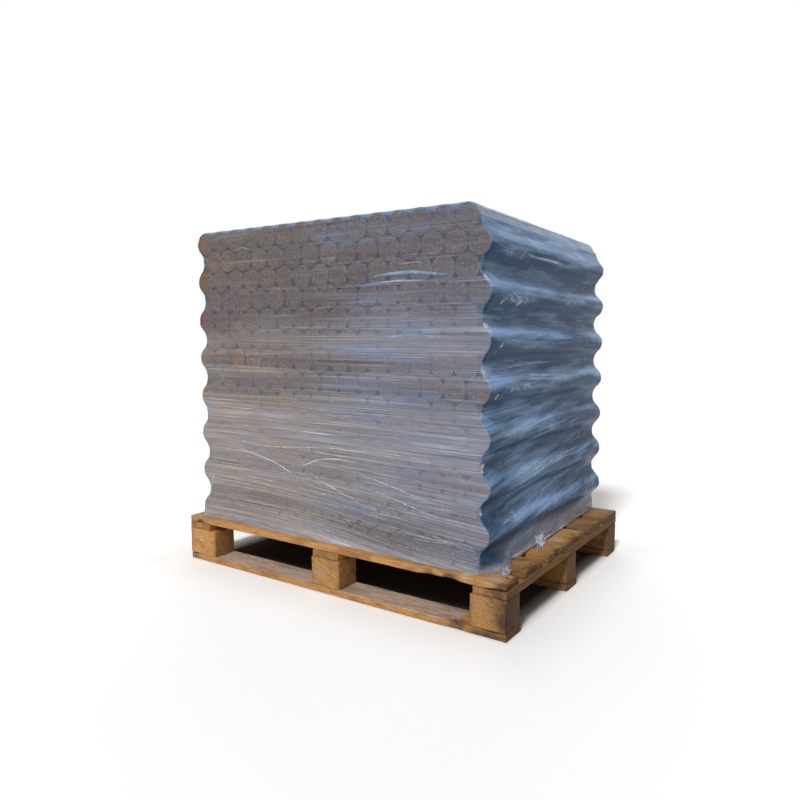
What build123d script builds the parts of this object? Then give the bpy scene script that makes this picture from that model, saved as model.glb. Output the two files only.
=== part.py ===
# Stretch wrapped pallet load of round pressed wood logs.
#
# Two hundred and twenty five sawdust logs lie front to back in nested rows on a light block
# pallet of reused boards, and one wrap of stretch film holds the stack together.
# Sizes are millimetres. X runs along the pallet's long side, Y from the front to the back and
# Z up. The origin is on the floor, under the middle of the pallet.

import os
from math import cos, radians, sqrt, tan

from build123d import *

os.makedirs("parts", exist_ok=True)

# Pallet
pallet_length = 1200.0
pallet_width = 800.0

deck_thickness = 19.0
deck_widths = [73.0, 101.0, 132.0, 132.0, 114.0, 118.0]  # from the front edge to the back one
deck_gap_weights = [32.0, 34.0, 3.0, 28.0, 33.0]  # the room left over is shared out like this

cross_thickness = 22.0
cross_widths = [97.0, 98.0, 100.0]  # left, middle and right

block_height = 83.0
block_lengths = [124.0, 111.0, 108.0]  # left, middle and right, along the pallet
block_depths = [74.0, 68.0, 74.0]  # front, middle and back, across the pallet
middle_column_shift = 6.0  # the middle cross board and its blocks sit right of centre
middle_line_shift = 7.0  # the middle bottom board and its blocks sit behind the centre

bottom_thickness = 20.0
bottom_widths = [78.0, 75.0, 78.0]  # front, middle and back

# Load
log_diameter = 70.0
log_length = 770.0
log_sides = 12  # corners at each twelfth turn, where the nested logs meet
log_gap = 0.3
row_count = 15
bundle_count = 3
logs_per_bundle = 5
bundle_gap = 1.5  # extra room between two bundles of a row
load_front_setback = 27.0
load_left_setback = 42.0

# Stretch film
film_thickness = 0.8
film_gap = 0.3  # between the film and what it lies on
film_valley_radius = 18.0
film_foot_flare = 2.0  # how far the foot stands out beyond the valley above it
film_hem_front = 16.0
film_hem_back = 2.0
film_rope_diameter = 12.0

# Levels, from the floor up
block_level = bottom_thickness
cross_level = block_level + block_height
deck_level = cross_level + cross_thickness
deck_top = deck_level + deck_thickness

# Places on the pallet
pallet_front = -pallet_width / 2
pallet_back = pallet_width / 2
pallet_left = -pallet_length / 2
pallet_right = pallet_length / 2


def spread(low, high, sizes, middle_shift):
    """Centres of three pieces: flush at both ends, and one near the middle."""
    return [low + sizes[0] / 2, (low + high) / 2 + middle_shift, high - sizes[2] / 2]


column_x = spread(pallet_left, pallet_right, block_lengths, middle_column_shift)
cross_x = spread(pallet_left, pallet_right, cross_widths, middle_column_shift)
line_y = spread(pallet_front, pallet_back, block_depths, middle_line_shift)
bottom_y = spread(pallet_front, pallet_back, bottom_widths, middle_line_shift)

# Places in the load
log_radius = log_diameter / 2
log_pitch = log_diameter + log_gap
row_pitch = sqrt(log_pitch**2 - (log_pitch / 2) ** 2)  # nested rows sit in each other's hollows
logs_per_row = bundle_count * logs_per_bundle
row_width = logs_per_row * log_pitch - log_gap + (bundle_count - 1) * bundle_gap
load_left = pallet_left + load_left_setback
load_front = pallet_front + load_front_setback
load_back = load_front + log_length
first_row_z = deck_top + log_gap + log_radius
side_names = ["left", "middle", "right"]
line_names = ["front", "middle", "back"]


def row_z(level):
    """Height of the log axes in a row, counted from 0 at the bottom."""
    return first_row_z + level * row_pitch


def row_start(level):
    """X of a row's first log axis: every other row is moved right by half a log."""
    return load_left + log_radius + (log_pitch / 2 if level % 2 else 0.0)


def row_end(level):
    """X of a row's last log axis."""
    return row_start(level) + row_width - log_diameter


# Deck boards, along the pallet
deck_room = pallet_width - sum(deck_widths)
board_front = pallet_front
for number, width in enumerate(deck_widths, start=1):
    with BuildPart() as deck_board:
        with BuildSketch(Plane.XY.offset(deck_level)):
            with Locations((0, board_front + width / 2)):
                Rectangle(pallet_length, width)
        extrude(amount=deck_thickness)
    deck_board.part.label = f"deck_board_{number}"
    export_step(deck_board.part, f"parts/deck_board_{number}.step")
    if number < len(deck_widths):
        board_front += width + deck_room * deck_gap_weights[number - 1] / sum(deck_gap_weights)

# Cross boards, under the deck
for name, x, width in zip(side_names, cross_x, cross_widths):
    with BuildPart() as cross_board:
        with BuildSketch(Plane.XY.offset(cross_level)):
            with Locations((x, 0)):
                Rectangle(width, pallet_width)
        extrude(amount=cross_thickness)
    cross_board.part.label = f"cross_board_{name}"
    export_step(cross_board.part, f"parts/cross_board_{name}.step")

# Blocks, three lines of three
for line_name, y, depth in zip(line_names, line_y, block_depths):
    for side_name, x, length in zip(side_names, column_x, block_lengths):
        with BuildPart() as block:
            with BuildSketch(Plane.XY.offset(block_level)):
                with Locations((x, y)):
                    Rectangle(length, depth)
            extrude(amount=block_height)
        block.part.label = f"block_{line_name}_{side_name}"
        export_step(block.part, f"parts/block_{line_name}_{side_name}.step")

# Bottom boards, along the pallet
for name, y, width in zip(line_names, bottom_y, bottom_widths):
    with BuildPart() as bottom_board:
        with BuildSketch():
            with Locations((0, y)):
                Rectangle(pallet_length, width)
        extrude(amount=bottom_thickness)
    bottom_board.part.label = f"bottom_board_{name}"
    export_step(bottom_board.part, f"parts/bottom_board_{name}.step")

# Logs, one node for each row, numbered from the top
for level in range(row_count):
    number = row_count - level
    axes = []
    for index in range(logs_per_row):
        seam = (index // logs_per_bundle) * bundle_gap
        axes.append((row_start(level) + index * log_pitch + seam, row_z(level)))
    with BuildPart() as log_row:
        with BuildSketch(Plane.XZ.offset(-load_back)):
            with Locations(*axes):
                RegularPolygon(log_radius, log_sides)
        extrude(amount=log_length)
    log_row.part.label = f"log_row_{number:02d}"
    export_step(log_row.part, f"parts/log_row_{number:02d}.step")


def wrap_outline(offset, foot_z):
    """Corners and fillets of the film's section, offset from the log surfaces.

    Between two rows the film follows the logs' common tangent, 30 degrees from upright, so the
    section is a zigzag whose outer corners are rounded about the standing out logs.
    """
    radius = log_radius + offset
    valley = film_valley_radius - offset
    reach = radius / cos(radians(30))
    top_level = row_count - 1
    top_z = row_z(top_level) + radius
    right_foot = row_end(0) + reach + film_foot_flare
    left_foot = row_start(0) - radius
    corners = [(right_foot, foot_z)]
    fillets = []
    for level in range(top_level):
        corners.append((row_end(level) + reach, row_z(level)))
        fillets.append(radius if level % 2 else valley)
    corners.append((row_end(top_level) + radius * tan(radians(30)), top_z))
    fillets.append(radius)
    corners.append((row_start(top_level) - radius * tan(radians(60)), top_z))
    fillets.append(radius)
    for level in range(top_level - 1, 0, -1):
        corners.append((row_start(level) - reach, row_z(level)))
        fillets.append(valley if level % 2 else radius)
    corners.append((left_foot, row_z(0) + radius * tan(radians(15))))
    fillets.append(radius)
    corners.append((left_foot, foot_z))
    return corners, fillets


# Film wrap: a hood over the stack, its foot gathered on the deck and rolled up on the right
film_base = deck_top + film_gap
film_offset = film_gap + film_thickness
outer_corners, outer_fillets = wrap_outline(film_offset, film_base)
inner_corners, inner_fillets = wrap_outline(film_gap, film_base)
hem_right = outer_corners[0][0]
hem_left = outer_corners[-1][0]
hem_front = load_front - film_offset - film_hem_front
hem_back = load_back + film_offset + film_hem_back
rope_radius = film_rope_diameter / 2

with BuildPart() as film_wrap:
    with BuildSketch(Plane.XZ.offset(-load_back - film_offset)):
        with BuildLine():
            outer_line = FilletPolyline(*outer_corners, radius=outer_fillets)
            Line(outer_line @ 1, outer_line @ 0)
        make_face()
    extrude(amount=log_length + 2 * film_offset)
    with BuildSketch(Plane.XY.offset(film_base)):
        with Locations(((hem_left + hem_right) / 2, (hem_front + hem_back) / 2)):
            Rectangle(hem_right - hem_left, hem_back - hem_front)
    extrude(amount=film_thickness)
    with BuildSketch(Plane.XZ.offset(-load_back - film_offset)):
        with Locations((hem_right, film_base + rope_radius)):
            Circle(rope_radius)
    extrude(amount=log_length + 2 * film_offset)
    with BuildSketch(Plane.XZ.offset(-load_back - film_gap)):
        with BuildLine():
            inner_line = FilletPolyline(*inner_corners, radius=inner_fillets)
            Line(inner_line @ 1, inner_line @ 0)
        make_face()
    extrude(amount=log_length + 2 * film_gap, mode=Mode.SUBTRACT)
film_wrap.part.label = "film_wrap"
export_step(film_wrap.part, "parts/film_wrap.step")
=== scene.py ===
# Looks for a stretch wrapped pallet load of round pressed sawdust logs.
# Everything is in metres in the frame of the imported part: X along the pallet, Y from the front
# to the back, Z up, with the origin on the floor under the middle of the pallet.

import math

import bpy
import numpy as np
from mathutils import Matrix, Vector


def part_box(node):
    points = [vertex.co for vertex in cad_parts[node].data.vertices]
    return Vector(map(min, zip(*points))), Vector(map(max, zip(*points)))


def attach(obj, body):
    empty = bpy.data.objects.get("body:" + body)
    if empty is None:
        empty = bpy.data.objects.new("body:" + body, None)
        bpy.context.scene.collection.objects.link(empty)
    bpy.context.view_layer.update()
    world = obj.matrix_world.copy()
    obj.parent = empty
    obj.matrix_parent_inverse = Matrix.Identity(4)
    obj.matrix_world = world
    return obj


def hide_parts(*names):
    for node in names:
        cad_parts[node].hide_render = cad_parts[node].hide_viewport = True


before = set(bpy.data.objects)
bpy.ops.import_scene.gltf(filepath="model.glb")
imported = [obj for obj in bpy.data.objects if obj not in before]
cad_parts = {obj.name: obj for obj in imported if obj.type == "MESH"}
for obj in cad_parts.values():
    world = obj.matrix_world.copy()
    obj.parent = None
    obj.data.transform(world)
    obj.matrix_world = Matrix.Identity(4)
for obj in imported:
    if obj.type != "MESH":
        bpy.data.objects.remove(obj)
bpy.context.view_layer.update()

mm = 0.001


# Small helpers

def linear(hexColour, alpha=1.0):
    # sRGB hex to linear RGBA
    channels = [int(hexColour[i:i + 2], 16) / 255 for i in (1, 3, 5)]
    out = [c / 12.92 if c <= 0.04045 else ((c + 0.055) / 1.055) ** 2.4 for c in channels]
    return (*out, alpha)


def addNode(tree, kind, inputs=None, stops=None, **settings):
    # Adds a node, sets its properties, and fills or links its inputs by name or number; a node
    # given as an input stands for its first output
    node = tree.nodes.new("ShaderNode" + kind)
    for name, value in settings.items():
        setattr(node, name, value)
    for name, value in (inputs or {}).items():
        if isinstance(value, bpy.types.Node):
            value = value.outputs[0]
        if isinstance(value, bpy.types.NodeSocket):
            tree.links.new(value, node.inputs[name])
        else:
            node.inputs[name].default_value = value
    if stops:
        elements = node.color_ramp.elements
        while len(elements) < len(stops):
            elements.new(0.5)
        for element, (place, colour) in zip(elements, stops):
            element.position = place
            element.color = linear(colour)
    return node


def startMaterial(name):
    material = bpy.data.materials.new(name)
    material.use_nodes = True
    tree = material.node_tree
    tree.nodes.clear()
    return material, tree


def smoothStep(low, high, value):
    t = np.clip((value - low) / (high - low), 0.0, 1.0)
    return t * t * (3 - 2 * t)


def valueNoise(u, v, seed):
    # Smooth noise from 0 to 1 on a unit lattice, the same on each run
    table = np.random.default_rng(seed).random((256, 256))
    u0, v0 = np.floor(u), np.floor(v)
    fu, fv = u - u0, v - v0
    fu, fv = fu * fu * (3 - 2 * fu), fv * fv * (3 - 2 * fv)
    i, j = u0.astype(int) % 256, v0.astype(int) % 256
    i1, j1 = (i + 1) % 256, (j + 1) % 256
    low = table[i, j] * (1 - fu) + table[i1, j] * fu
    high = table[i, j1] * (1 - fu) + table[i1, j1] * fu
    return low * (1 - fv) + high * fv


def meshPiece(name, points, faces, material, smooth=True):
    mesh = bpy.data.meshes.new(name)
    mesh.from_pydata([tuple(p) for p in points], [], [tuple(f) for f in faces])
    mesh.update()
    mesh.shade_smooth() if smooth else mesh.shade_flat()
    mesh.materials.append(material)
    piece = bpy.data.objects.new(name, mesh)
    bpy.context.collection.objects.link(piece)
    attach(piece, "root")
    return piece


def paint(piece, name, kind, values):
    # Stores one value for each vertex, for the material to read; colours are given without alpha
    if kind == "FLOAT_COLOR":
        values = np.column_stack((values, np.ones(len(values))))
    layer = piece.data.attributes.new(name, kind, "POINT")
    key = {"FLOAT": "value", "FLOAT_VECTOR": "vector", "FLOAT_COLOR": "color"}[kind]
    layer.data.foreach_set(key, np.asarray(values, dtype=np.float32).ravel())


# Camera, at the photograph's place

camera = {
    "place": (1.298, -1.7065, 0.7265),
    "yaw": 119.85,  # degrees from +X, where it looks
    "pitch": -4.515,
    "roll": 0.438,
    "focalPixels": 634.9,
    "centrePixel": (490.0, 392.0),  # off the middle, as the photograph is taken to be a crop
    "imagePixels": 800,
    "sensorWidth": 36.0,  # mm
}


def makeCamera():
    yaw, pitch, roll = (math.radians(camera[k]) for k in ("yaw", "pitch", "roll"))
    look = Vector((math.cos(yaw) * math.cos(pitch), math.sin(yaw) * math.cos(pitch), math.sin(pitch)))
    right = Vector((math.sin(yaw), -math.cos(yaw), 0))
    up = right.cross(look)
    right, up = (
        right * math.cos(roll) + up * math.sin(roll),
        up * math.cos(roll) - right * math.sin(roll),
    )
    data = bpy.data.cameras.new("Camera")
    data.sensor_width = camera["sensorWidth"]
    data.lens = camera["focalPixels"] / camera["imagePixels"] * camera["sensorWidth"]
    data.shift_x = -(camera["centrePixel"][0] / camera["imagePixels"] - 0.5)
    data.shift_y = camera["centrePixel"][1] / camera["imagePixels"] - 0.5
    data.clip_end = 100
    made = bpy.data.objects.new("Camera", data)
    turn = Matrix((right, up, -look)).transposed().to_4x4()
    made.matrix_world = Matrix.Translation(camera["place"]) @ turn
    bpy.context.collection.objects.link(made)
    bpy.context.scene.camera = made


makeCamera()
print("camera done")


# Light and floor

studio = {
    "skyStrength": 0.31,
    "keyStrength": 2.7,
    "keyFrom": (0.22, -1.0, 1.15),  # high and in front, so the right end stays in shade
    "keySoftness": 10,  # degrees
    "fillStrength": 0.5,
    "fillFrom": (-0.7, 1.0, 0.9),
    "floorColour": "#f4f3f1",
    # Painted shadow: the colour the ground is painted under the pallet
    "paintedShadowColour": "#4a4540",
    "floorLift": 0.12,  # light added for the camera only, so that the floor reads white
    "floorSize": 30.0,
    "paintedShadowSides": (0.56, 0.36, 9.0),  # half sides of the ground under the pallet that is painted dark as a shadow, and gets no lift
    "fillSoftness": 40,
}


def addSun(name, strength, source, softness):
    data = bpy.data.lights.new(name, "SUN")
    data.energy = strength
    data.angle = math.radians(softness)
    lamp = bpy.data.objects.new(name, data)
    lamp.rotation_euler = Vector(source).to_track_quat("Z", "Y").to_euler()
    bpy.context.collection.objects.link(lamp)


def makeStudio():
    world = bpy.data.worlds.new("Pale studio")
    bpy.context.scene.world = world
    world.use_nodes = True
    tree = world.node_tree
    tree.nodes.clear()
    path = addNode(tree, "LightPath")
    seen = addNode(tree, "Math", {0: path.outputs["Is Camera Ray"], 1: path.outputs["Is Glossy Ray"]},
                   operation="MAXIMUM")
    seen = addNode(tree, "Math", {0: seen, 1: path.outputs["Is Transmission Ray"]}, operation="MAXIMUM")
    strength = addNode(tree, "MapRange", {"Value": seen, "To Min": studio["skyStrength"], "To Max": 1.0})
    sky = addNode(tree, "Background", {"Color": (1, 1, 1, 1), "Strength": strength})
    addNode(tree, "OutputWorld", {"Surface": sky})

    addSun("Key", studio["keyStrength"], studio["keyFrom"], studio["keySoftness"])
    addSun("Fill", studio["fillStrength"], studio["fillFrom"], studio["fillSoftness"])

    # Painted studio floor: matte and near white
    floorPaint, tree = startMaterial("Matte floor paint")
    path = addNode(tree, "LightPath")
    ground = addNode(tree, "NewGeometry").outputs["Position"]
    spread = addNode(tree, "VectorMath", {0: ground}, operation="ABSOLUTE")
    spread = addNode(tree, "VectorMath", {0: spread, 1: studio["paintedShadowSides"]}, operation="SUBTRACT")
    sides = addNode(tree, "SeparateXYZ", {0: spread})
    away = addNode(tree, "Math", {0: sides, 1: sides.outputs[1]}, operation="MAXIMUM")
    # The camera-only lift fades in outwards from the pallet's edge, so the ground under and beside the
    # pallet stays darker: painted shade
    open_ = addNode(tree, "MapRange", {"Value": away, "From Min": 0.0, "From Max": 0.25,
                                       "To Max": studio["floorLift"]}, interpolation_type="SMOOTHSTEP")
    lift = addNode(tree, "Math", {0: path.outputs["Is Camera Ray"], 1: open_}, operation="MULTIPLY")
    # Painted shadow: the ground under the pallet is painted dark, a choice of stage
    shade = addNode(tree, "MapRange", {"Value": away, "From Min": -0.03, "From Max": 0.05})
    ground = addNode(tree, "MixRGB", {0: shade, 1: linear(studio["paintedShadowColour"]),
                                      2: linear(studio["floorColour"])})
    matte = addNode(tree, "BsdfDiffuse", {"Color": ground})
    glow = addNode(tree, "Emission", {"Color": (1, 1, 1, 1), "Strength": lift})
    both = addNode(tree, "AddShader", {0: matte, 1: glow})
    addNode(tree, "OutputMaterial", {"Surface": both})
    half = studio["floorSize"] / 2
    mesh = bpy.data.meshes.new("floor")
    mesh.from_pydata([(-half, -half, 0), (half, -half, 0), (half, half, 0), (-half, half, 0)], [],
                     [(0, 1, 2, 3)])
    mesh.materials.append(floorPaint)
    floor = bpy.data.objects.new("floor", mesh)
    bpy.context.collection.objects.link(floor)


makeStudio()
bpy.context.scene.view_settings.view_transform = "Standard"
print("studio done")


# Materials

woodLook = {
    "ringSpacing": 5.5,  # mm between growth rings
    "fibreWidth": 1.5,  # mm, drawn coarser than real wood fibre so that it shows
    "crackWidth": 9.0,  # mm between possible drying cracks
    "knotSpacing": 210.0,  # mm along a board
    "lightWood": "#cf9c5e",
    "midWood": "#c28c4a",
    "darkWood": "#a06f38",
    "brown": "#8d5f30",
    "stain": "#573b24",
    "grey": "#a08c78",
    "wound": "#bcab97",
    "knot": "#5d3b1e",
    "crack": "#2a1a0e",
}


def makeSawnSpruce():
    # Spruce boards, rough sawn and used: open fibres and growth rings along the board, dark
    # drying cracks, knots, and grey or dark stains where they were knocked about. No gloss.
    material, tree = startMaterial("Sawn spruce, used and weathered")
    grain = addNode(tree, "Attribute", attribute_name="grain").outputs["Vector"]
    wear, tone, figure, warmth, fresh = (
        addNode(tree, "Attribute", attribute_name=name).outputs["Fac"]
        for name in ("wear", "tone", "figure", "warmth", "fresh"))

    # Growth rings round a pith that lies beside the board
    bend = addNode(tree, "TexNoise", {"Vector": grain, "Scale": 4.0, "Detail": 2.0})
    shifted = addNode(tree, "MixRGB", {0: 0.012, 1: grain, 2: bend.outputs["Color"]}, blend_type="ADD")
    ringScale = 2 * math.pi / (20 * woodLook["ringSpacing"] * mm)
    rings = addNode(tree, "TexWave", {"Vector": shifted, "Scale": ringScale,
                                      "Distortion": 3.0, "Detail": 3.0, "Detail Scale": 0.3},
                    wave_type="RINGS", rings_direction="X", wave_profile="SIN")

    # Fibres: noise stretched along the board
    stretch = addNode(tree, "Mapping", {"Vector": grain, "Scale": (0.035, 1, 1)})
    fibreScale = 1 / (woodLook["fibreWidth"] * mm)
    fibre = addNode(tree, "TexNoise", {"Vector": stretch, "Scale": fibreScale,
                                       "Detail": 3.0, "Roughness": 0.65})

    # Drying cracks: thin lines where a stretched noise crosses its middle
    crackMap = addNode(tree, "Mapping", {"Vector": grain, "Scale": (0.05, 1, 1)})
    crackNoise = addNode(tree, "TexNoise", {"Vector": crackMap,
                                            "Scale": 1 / (woodLook["crackWidth"] * mm), "Detail": 1.5})
    middle = addNode(tree, "Math", {0: crackNoise.outputs["Fac"], 1: 0.5}, operation="SUBTRACT")
    away = addNode(tree, "Math", {0: middle}, operation="ABSOLUTE")
    crackLine = addNode(tree, "MapRange", {"Value": away, "From Min": 0.004,
                                           "From Max": 0.017, "To Min": 0.85, "To Max": 0.0})
    crackPatch = addNode(tree, "TexNoise", {"Vector": grain, "Scale": 9.0, "Detail": 1.0})
    crackWhere = addNode(tree, "MapRange", {"Value": crackPatch.outputs["Fac"], "From Min": 0.48,
                                            "From Max": 0.58})
    crack = addNode(tree, "Math", {0: crackLine, 1: crackWhere}, operation="MULTIPLY")

    # Knots: sparse cells, drawn out a little along the board
    knotMap = addNode(tree, "Mapping", {"Vector": grain, "Scale": (0.6, 1, 0.25)})
    cells = addNode(tree, "TexVoronoi", {"Vector": knotMap,
                                         "Scale": 1000 / woodLook["knotSpacing"] * 1.6,
                                         "Randomness": 1.0})
    knot = addNode(tree, "MapRange", {"Value": cells.outputs["Distance"], "From Min": 0.055,
                                      "From Max": 0.10, "To Min": 1.0, "To Max": 0.0})
    some = addNode(tree, "SeparateColor", {"Color": cells.outputs["Color"]})
    chosen = addNode(tree, "Math", {0: some, 1: 0.62}, operation="GREATER_THAN")
    knotHere = addNode(tree, "Math", {0: knot, 1: chosen}, operation="MULTIPLY")

    # The rings fade in and out, and hardly show on the blocks
    ringFade = addNode(tree, "TexNoise", {"Vector": stretch, "Scale": 60.0, "Detail": 2.0})
    ringShare = addNode(tree, "MapRange", {"Value": ringFade.outputs["Fac"], "From Min": 0.40,
                                           "From Max": 0.66, "To Min": 0.05})
    ringShare = addNode(tree, "Math", {0: ringShare, 1: figure}, operation="MULTIPLY")
    ringTone = addNode(tree, "Mix", {"Factor": ringShare, "A": 0.42, "B": rings.outputs["Fac"]})
    woodRamp = addNode(tree, "ValToRGB", {0: ringTone},
                       stops=[(0.0, woodLook["lightWood"]), (0.62, woodLook["midWood"]),
                              (1.0, woodLook["darkWood"])])
    fibreRamp = addNode(tree, "ValToRGB", {0: fibre.outputs["Fac"]},
                        stops=[(0.32, "#8a7c68"), (0.58, "#ffffff")])
    coloured = addNode(tree, "MixRGB", {0: 0.8, 1: woodRamp, 2: fibreRamp}, blend_type="MULTIPLY")
    patches = addNode(tree, "TexNoise", {"Vector": grain, "Scale": 14.0, "Detail": 5.0, "Roughness": 0.6})
    greyWhere = addNode(tree, "MapRange", {"Value": patches.outputs["Fac"], "From Min": 0.54,
                                           "From Max": 0.70, "To Max": 0.45})
    # Broad stains with soft edges, drawn out along the board
    stainMap = addNode(tree, "Mapping", {"Vector": grain, "Scale": (0.35, 1, 1)})
    stains = addNode(tree, "TexNoise", {"Vector": stainMap, "Scale": 26.0, "Detail": 6.0,
                                        "Roughness": 0.62})
    stainWhere = addNode(tree, "MapRange", {"Value": stains.outputs["Fac"], "From Min": 0.50,
                                            "From Max": 0.62, "To Max": 0.72})
    wornNoise = addNode(tree, "TexNoise", {"Vector": grain, "Scale": 55.0, "Detail": 4.0,
                                           "Roughness": 0.7})
    wornEdge = addNode(tree, "Math", {0: wear, 1: wornNoise.outputs["Fac"]}, operation="MULTIPLY")
    wornWhere = addNode(tree, "MapRange", {"Value": wornEdge, "From Min": 0.15,
                                           "From Max": 0.55, "To Max": 0.85})
    for where, layer in ((stainWhere, "brown"), (greyWhere, "grey"), (wornWhere, "stain"),
                         (knotHere, "knot"), (crack, "crack")):
        coloured = addNode(tree, "MixRGB", {0: where, 1: coloured, 2: linear(woodLook[layer])})
    toned = addNode(tree, "HueSaturation", {"Color": coloured, "Saturation": warmth, "Value": tone})

    # Pale wounds with ragged edges
    woundNoise = addNode(tree, "TexNoise", {"Vector": crackMap, "Scale": 210.0, "Detail": 5.0,
                                            "Roughness": 0.65})
    woundEdge = addNode(tree, "Math", {0: fresh, 1: 0.42, 2: woundNoise.outputs["Fac"]},
                        operation="MULTIPLY_ADD")
    woundWhere = addNode(tree, "MapRange", {"Value": woundEdge, "From Min": 0.78,
                                            "From Max": 0.92, "To Max": 0.62})
    toned = addNode(tree, "MixRGB", {0: woundWhere, 1: toned, 2: linear(woodLook["wound"])})

    height = addNode(tree, "Math", {0: fibre.outputs["Fac"], 1: crack}, operation="SUBTRACT")
    bump = addNode(tree, "Bump", {"Height": height, "Strength": 0.6, "Distance": 0.0012})
    shader = addNode(tree, "BsdfPrincipled", {"Base Color": toned, "Roughness": 0.82,
                                              "IOR": 1.5, "Normal": bump})
    addNode(tree, "OutputMaterial", {"Surface": shader})
    return material


sawdustLook = {
    "chipSize": 4.0,  # mm, the bits of wood in the pressed face, drawn coarse so that they show
    "dustSize": 1.6,  # mm
    "body": "#6f6054",
    "warmBody": "#76573b",
    "lightChip": "#a8937d",
    "darkChip": "#3d332c",
}


def makePressedSawdust():
    # Sawdust squeezed into a bar without glue: matte and speckled on the sawn ends, with faint
    # press rings, and smoother and browner on the sides that slid along the die.
    material, tree = startMaterial("Pressed sawdust, extruded")
    place = addNode(tree, "TexCoord").outputs["Object"]
    ring, tone, side, warm = (addNode(tree, "Attribute", attribute_name=name).outputs["Fac"]
                              for name in ("ring", "tone", "side", "warm"))

    chips = addNode(tree, "TexVoronoi", {"Vector": place, "Scale": 1 / (sawdustLook["chipSize"] * mm)})
    chipTone = addNode(tree, "SeparateColor", {"Color": chips.outputs["Color"]})
    chipRamp = addNode(tree, "ValToRGB", {0: chipTone},
                       stops=[(0.0, sawdustLook["darkChip"]), (0.2, sawdustLook["body"]),
                              (0.8, sawdustLook["body"]), (1.0, sawdustLook["lightChip"])])
    dust = addNode(tree, "TexNoise", {"Vector": place, "Scale": 1 / (sawdustLook["dustSize"] * mm),
                                      "Detail": 2.0})
    dustRamp = addNode(tree, "ValToRGB", {0: dust.outputs["Fac"]},
                       stops=[(0.3, "#8f8a86"), (0.7, "#ffffff")])
    speckled = addNode(tree, "MixRGB", {0: 0.7, 1: chipRamp, 2: dustRamp}, blend_type="MULTIPLY")
    # Press rings, 7 mm apart
    waves = addNode(tree, "Math", {0: ring, 1: 2 * math.pi / (7 * mm)}, operation="MULTIPLY")
    waves = addNode(tree, "Math", {0: waves}, operation="SINE")
    ringTone = addNode(tree, "MapRange", {"Value": waves, "From Min": -1.0, "To Min": 0.90,
                                          "To Max": 1.04})
    brightness = addNode(tree, "Math", {0: ringTone, 1: tone}, operation="MULTIPLY")
    faceTone = addNode(tree, "HueSaturation", {"Color": speckled, "Value": brightness})
    warmTone = addNode(tree, "HueSaturation", {"Color": linear(sawdustLook["warmBody"]),
                                               "Value": brightness})
    sideStretch = addNode(tree, "Mapping", {"Vector": place, "Scale": (1, 0.04, 1)})
    sideNoise = addNode(tree, "TexNoise", {"Vector": sideStretch, "Scale": 320.0, "Detail": 3.0})
    sideRamp = addNode(tree, "ValToRGB", {0: sideNoise.outputs["Fac"]},
                       stops=[(0.3, "#5e4832"), (0.7, "#8a6a48")])
    warmed = addNode(tree, "MixRGB", {0: warm, 1: faceTone, 2: warmTone})
    mixed = addNode(tree, "MixRGB", {0: side, 1: warmed, 2: sideRamp})
    bump = addNode(tree, "Bump", {"Height": dust.outputs["Fac"], "Strength": 0.5, "Distance": 0.0008})
    shader = addNode(tree, "BsdfPrincipled", {"Base Color": mixed, "Roughness": 0.78,
                                              "IOR": 1.5, "Normal": bump})
    addNode(tree, "OutputMaterial", {"Surface": shader})
    return material


def makeNailSteel():
    # Bright drawn wire nails that have rusted: dull brown grey heads
    material, tree = startMaterial("Wire nail steel, rusted")
    place = addNode(tree, "TexCoord").outputs["Object"]
    rust = addNode(tree, "TexNoise", {"Vector": place, "Scale": 700.0, "Detail": 3.0})
    ramp = addNode(tree, "ValToRGB", {0: rust.outputs["Fac"]},
                   stops=[(0.4, "#6d675f"), (0.65, "#5a3a25")])
    shader = addNode(tree, "BsdfPrincipled", {"Base Color": ramp, "Metallic": 0.7, "Roughness": 0.55})
    addNode(tree, "OutputMaterial", {"Surface": shader})
    return material


sawnSpruce = makeSawnSpruce()
pressedSawdust = makePressedSawdust()
nailSteel = makeNailSteel()
print("materials done")


# Pallet boards and blocks, worn from sharp boxes

board = {
    "step": 12 * mm,  # mesh spacing along and across
    "edgeWear": (0.6 * mm, 2.6 * mm),  # how far sharp edges are rubbed off
    "faceWear": 0.7 * mm,
    "endCut": 3.0 * mm,  # how unevenly the boards were cut to length
    "toneRange": (0.92, 1.08),
    "toneShare": {"block_front_right": 0.78, "block_front_middle": 0.93, "bottom_board_front": 0.90},
    "figure": {"block": 0.22, "deck": 0.8, "cross": 0.5, "bottom": 0.6},  # how far the rings show
    "rightShadeAndDirt": 0.48,  # how much darker the deck gets towards its right end: painted shade, with some dirt
    # How much of that painted shade each board takes; the boards that stand lit take less
    "rightShadeShare": {"deck_board_1": 0.5, "deck_board_3": 0.35, "deck_board_4": 0.5, "deck_board_5": 1.15,
                   "deck_board_6": 1.2},
    # Pale wounds where a splinter broke off or the face was scraped: X, Y, Z and reach in metres
    "wounds": ((0.598, -0.400, 0.098, 0.016), (0.597, -0.400, 0.110, 0.010),
               (0.385, -0.400, 0.138, 0.026), (0.410, -0.400, 0.131, 0.020),
               (0.350, -0.392, 0.144, 0.022), (-0.545, -0.400, 0.072, 0.030),
               (-0.530, -0.400, 0.056, 0.022), (0.560, -0.380, 0.144, 0.060),
               (0.480, -0.385, 0.144, 0.050), (0.575, -0.345, 0.144, 0.030),
               (0.560, -0.010, 0.144, 0.060), (0.570, 0.110, 0.144, 0.050)),
    "endFaceShade": 0.75,  # painted shade on the end faces at the right
    "endFaceFrom": 0.5999,  # metres; vertices beyond this X are on those end faces
    "endWarmth": 0.45,
    "dustGrey": 0.45,  # how much colour the dust takes from the tops of the bottom boards
    "rightEndDarkening": 0.42,  # darker in the last centimetres of each board, at its right end
    "frontCornerShare": 0.45,  # of that, on the front deck board
    "lowFrontDirt": 0.42,  # on the front bottom board, towards the right
}


def gridLines(low, high, step, edge):
    # Places of the mesh lines: evenly spread, with a close pair at each end
    count = max(1, round((high - low - 2 * edge) / step))
    inner = np.linspace(low + edge, high - edge, count + 1)
    return np.concatenate(([low], inner, [high]))


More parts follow.
